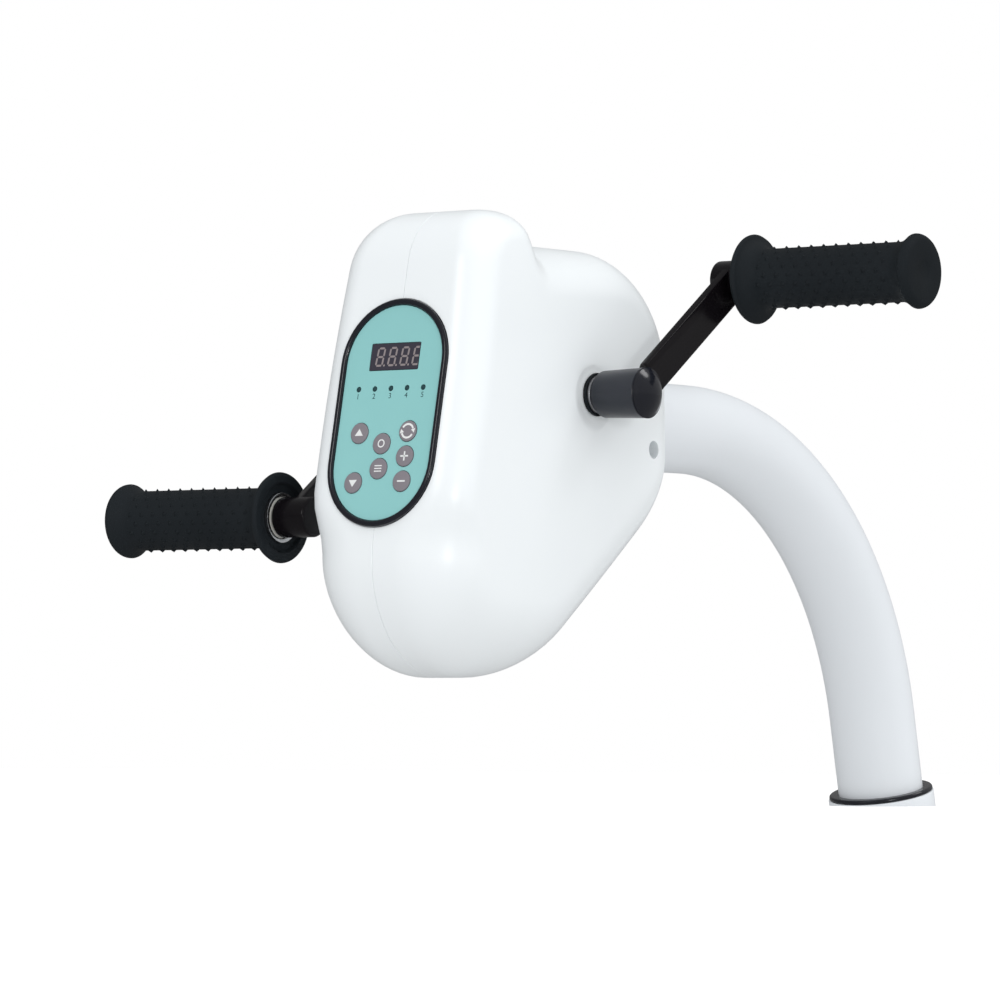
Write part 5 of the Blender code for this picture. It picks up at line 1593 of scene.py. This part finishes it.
# Screws
@dataclass
class Screws:
    """The housing's pan head screws, each with a cross recess."""

    shop: Workshop
    housing: Housing
    radius: float = 0.0020
    point: float = 0.0022
    head_radius: float = 0.0037
    head_height: float = 0.0026
    head_rim: float = 0.0010  # the straight part of its height
    head_flat: float = 0.45  # the share of its radius that is flat on top
    cross_half: tuple[float, float] = (0.0019, 0.0004)  # half an arm's length and width
    cross_depth: float = 0.0014
    join_tip: float = -0.0110  # in the right shell's post
    rear_tip: float = 0.0260  # past the chassis ear that it bites into

    def screw(self, seat: float, tip: float) -> bmesh.types.BMesh:
        """Make a screw along +Z.

        Args:
            seat: where its head sits.
            tip: where its point ends.

        Returns:
            Its mesh.
        """
        top, rim = seat + self.head_height, seat + self.head_rim
        profile = [(tip, 0.0), (tip + self.point, self.radius), (seat, self.radius), (seat, self.head_radius),
                   (rim, self.head_radius)]
        for angle in quarter_turn(6, 1):
            share = self.head_flat + (1 - self.head_flat) * cos(angle)
            profile.append((rim + (self.head_height - self.head_rim) * sin(angle), self.head_radius * share))
        bm = turned([*profile, (top, 0.0)], 40)
        far, near = self.cross_half
        cross, arm = [], [(far, -near), (far, near), (near, near)]
        for _ in range(4):
            cross += arm
            arm = [(-y, x) for x, y in arm]
        return combined(bm, prism(cross, top - self.cross_depth, top + REACH), "DIFFERENCE")

    def driven(self, side: Side, y: float, z: float) -> Matrix:
        """The place of a screw driven in from a side."""
        turn = Matrix.Rotation(side.value * pi / 2, 4, "Y")
        return self.shop.head_place() @ Matrix.Translation((0, y, z)) @ turn

    def build(self) -> None:
        """Make the screws: one at each side behind, and four that join the shells."""
        piece = self.shop.piece
        for side in Side:
            screw = self.screw(self.housing.rear_seat + GAP, self.rear_tip)
            place = self.driven(side, *self.housing.rear_screw)
            piece(f"{side.word}_rear_screw", screw, "bright_steel", "head", place,
                  [f"rear_screw_{side.word}"])
        for number, spot in enumerate(self.housing.join_screws, 1):
            screw = self.screw(self.housing.join_seat + GAP, self.join_tip)
            place = self.driven(Side.LEFT, *spot)
            piece(f"shell_screw_{number}", screw, "bright_steel", "head", place, [f"join_screw_{number}"])


# Studio
@dataclass
class Studio:
    """The floor, the light and the camera."""

    shop: Workshop
    floor_z: float = -0.75
    floor_half: float = 60.0
    ambient: tuple[float, float] = (0.17, 1.20)  # against and along the brightest direction
    brightest: tuple[float, float, float] = (0.58, 0.15, 0.80)
    mirrored: float = 0.35  # the share of the light that shows in glossy surfaces
    floor_colour: float = 0.68
    floor_glow: float = 0.36
    camera_offset: tuple[float, float, float] = (1.9268, -2.6741, -0.1726)  # from the crank axis
    camera_turn: tuple[float, float] = (radians(92.016), radians(35.967))  # pitch and heading
    lens: float = 215.1  # mm, before a film of 36 mm
    lamps: tuple[tuple[str, tuple[float, float, float], float, float], ...] = (
        ("key", (0.80, -0.59, 0.06), 0.15, radians(8)),
        ("front", (-0.10, -0.90, 0.42), 0.16, radians(20)),
        ("rim", (0.50, 0.46, 0.73), 0.13, radians(20)),
    )  # name, where it shines from, the light that it gives, and its width

    def seen_directly(self, tree: bpy.types.NodeTree) -> bpy.types.NodeSocket:
        """One for rays from the camera or through glass, and zero for light.

        Args:
            tree: the nodes that it is added to.

        Returns:
            The factor.
        """
        path = tree.nodes.new("ShaderNodeLightPath")
        either = tree.nodes.new("ShaderNodeMath")
        either.operation = "MAXIMUM"
        tree.links.new(path.outputs["Is Camera Ray"], either.inputs[0])
        tree.links.new(path.outputs["Is Transmission Ray"], either.inputs[1])
        return either.outputs["Value"]

    def dimmed(self, tree: bpy.types.NodeTree, value: float) -> bpy.types.NodeSocket:
        """A grey that is darker where glossy surfaces mirror it, as in a room beyond the lights.

        Args:
            tree: the nodes that it is added to.
            value: the grey elsewhere.

        Returns:
            The grey.
        """
        grey = tree.nodes.new("ShaderNodeMapRange")
        grey.inputs["To Min"].default_value = value
        grey.inputs["To Max"].default_value = value * self.mirrored
        tree.links.new(tree.nodes.new("ShaderNodeLightPath").outputs["Is Glossy Ray"], grey.inputs["Value"])
        return grey.outputs["Result"]

    def world(self) -> None:
        """A white world that lights the object more softly than it looks."""
        world = bpy.data.worlds.new("studio")
        world.use_nodes = True
        tree = world.node_tree
        tree.nodes.clear()
        light = tree.nodes.new("ShaderNodeBackground")
        along = tree.nodes.new("ShaderNodeVectorMath")
        along.operation = "DOT_PRODUCT"
        along.inputs[1].default_value = self.brightest
        tree.links.new(tree.nodes.new("ShaderNodeTexCoord").outputs["Generated"], along.inputs[0])
        spread = tree.nodes.new("ShaderNodeMapRange")
        spread.inputs["From Min"].default_value = -1.0
        spread.inputs["To Min"].default_value = self.ambient[0]
        spread.inputs["To Max"].default_value = self.ambient[1]
        tree.links.new(along.outputs["Value"], spread.inputs["Value"])
        tree.links.new(self.dimmed(tree, 1.0), light.inputs["Color"])
        tree.links.new(spread.outputs["Result"], light.inputs["Strength"])
        white = tree.nodes.new("ShaderNodeBackground")
        white.inputs["Color"].default_value = (1.0, 1.0, 1.0, 1.0)
        mix = tree.nodes.new("ShaderNodeMixShader")
        out = tree.nodes.new("ShaderNodeOutputWorld")
        tree.links.new(self.seen_directly(tree), mix.inputs["Fac"])
        tree.links.new(light.outputs["Background"], mix.inputs[1])
        tree.links.new(white.outputs["Background"], mix.inputs[2])
        tree.links.new(mix.outputs["Shader"], out.inputs["Surface"])
        bpy.context.scene.world = world

    def floor(self) -> None:
        """A pale floor well below the column's cut, at about its real height."""
        bm = bmesh.new()
        bmesh.ops.create_grid(bm, x_segments=1, y_segments=1, size=self.floor_half)
        mesh = bpy.data.meshes.new("floor")
        bmesh.ops.translate(bm, vec=(0, 0, self.floor_z), verts=bm.verts)
        bm.to_mesh(mesh)
        bm.free()
        finish = bpy.data.materials.new("floor_finish")
        finish.use_nodes = True
        tree = finish.node_tree
        shader = tree.nodes["Principled BSDF"]
        tree.links.new(self.dimmed(tree, self.floor_colour), shader.inputs["Base Color"])
        shader.inputs["Specular IOR Level"].default_value = 0.0
        shader.inputs["Emission Color"].default_value = (1.0, 1.0, 1.0, 1.0)
        glow = tree.nodes.new("ShaderNodeMath")
        glow.operation = "MULTIPLY"
        glow.inputs[1].default_value = self.floor_glow
        tree.links.new(self.seen_directly(tree), glow.inputs[0])
        tree.links.new(glow.outputs["Value"], shader.inputs["Emission Strength"])
        mesh.materials.append(finish)
        floor = bpy.data.objects.new("floor", mesh)
        bpy.context.scene.collection.objects.link(floor)

    def lights(self) -> None:
        """Soft lamps far away: each one's share is the light that it gives a surface facing it."""
        for name, towards, share, spread in self.lamps:
            lamp = bpy.data.lights.new(name, "SUN")
            lamp.energy = share * pi
            lamp.angle = spread
            placed = bpy.data.objects.new(name, lamp)
            placed.rotation_euler = Vector(towards).to_track_quat("Z", "Y").to_euler()
            bpy.context.scene.collection.objects.link(placed)

    def camera(self) -> None:
        """The camera, from the front right and a little below the head."""
        data = bpy.data.cameras.new("camera")
        data.lens = self.lens
        data.clip_start, data.clip_end = 0.1, 100.0
        camera = bpy.data.objects.new("camera", data)
        camera.location = self.shop.axis + Vector(self.camera_offset)
        pitch, turn = self.camera_turn
        camera.rotation_euler = (pitch, 0.0, turn)
        bpy.context.scene.collection.objects.link(camera)
        bpy.context.scene.camera = camera

    def build(self) -> None:
        """Set up the studio."""
        self.world()
        self.floor()
        self.lights()
        self.camera()
        bpy.context.scene.view_settings.view_transform = "Standard"


def dress_solids(frame: dict, finishes: dict[str, bpy.types.Material]) -> None:
    """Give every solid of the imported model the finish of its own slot.

    Args:
        frame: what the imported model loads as.
        finishes: the materials by slot.
    """
    for name, node in frame["nodes"].items():
        for slot in node.material_slots:
            slot.material = finishes[slot.material.name.split(".")[0]]
        LOG.info("%s: finish only", name)


def main() -> None:
    """Build the looks in order."""
    logging.basicConfig(level=logging.INFO, format="%(name)s %(message)s")
    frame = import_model()
    finishes = {finish.name: finish.build() for finish in FINISHES}
    dress_solids(frame, finishes)
    joints = {joint["name"]: joint for joint in frame["joints"]}
    axis = Vector(joints["crank_spin"]["pos_m"])
    axis.x = 0.0
    arm = Vector(joints["right_grip_spin"]["pos_m"]) - axis
    shop = Workshop(finishes, axis, atan2(arm.z, arm.y))
    housing = Housing(shop)
    panel = ControlPanel(shop, housing)
    Studio(shop).build()
    housing.build(panel)
    panel.build()
    Gooseneck(shop).build()
    Screws(shop, housing).build()
    for side in Side:
        crank = Crank(shop, side)
        crank.build()
        Grip(crank).build()


if __name__ == "__main__":
    main()
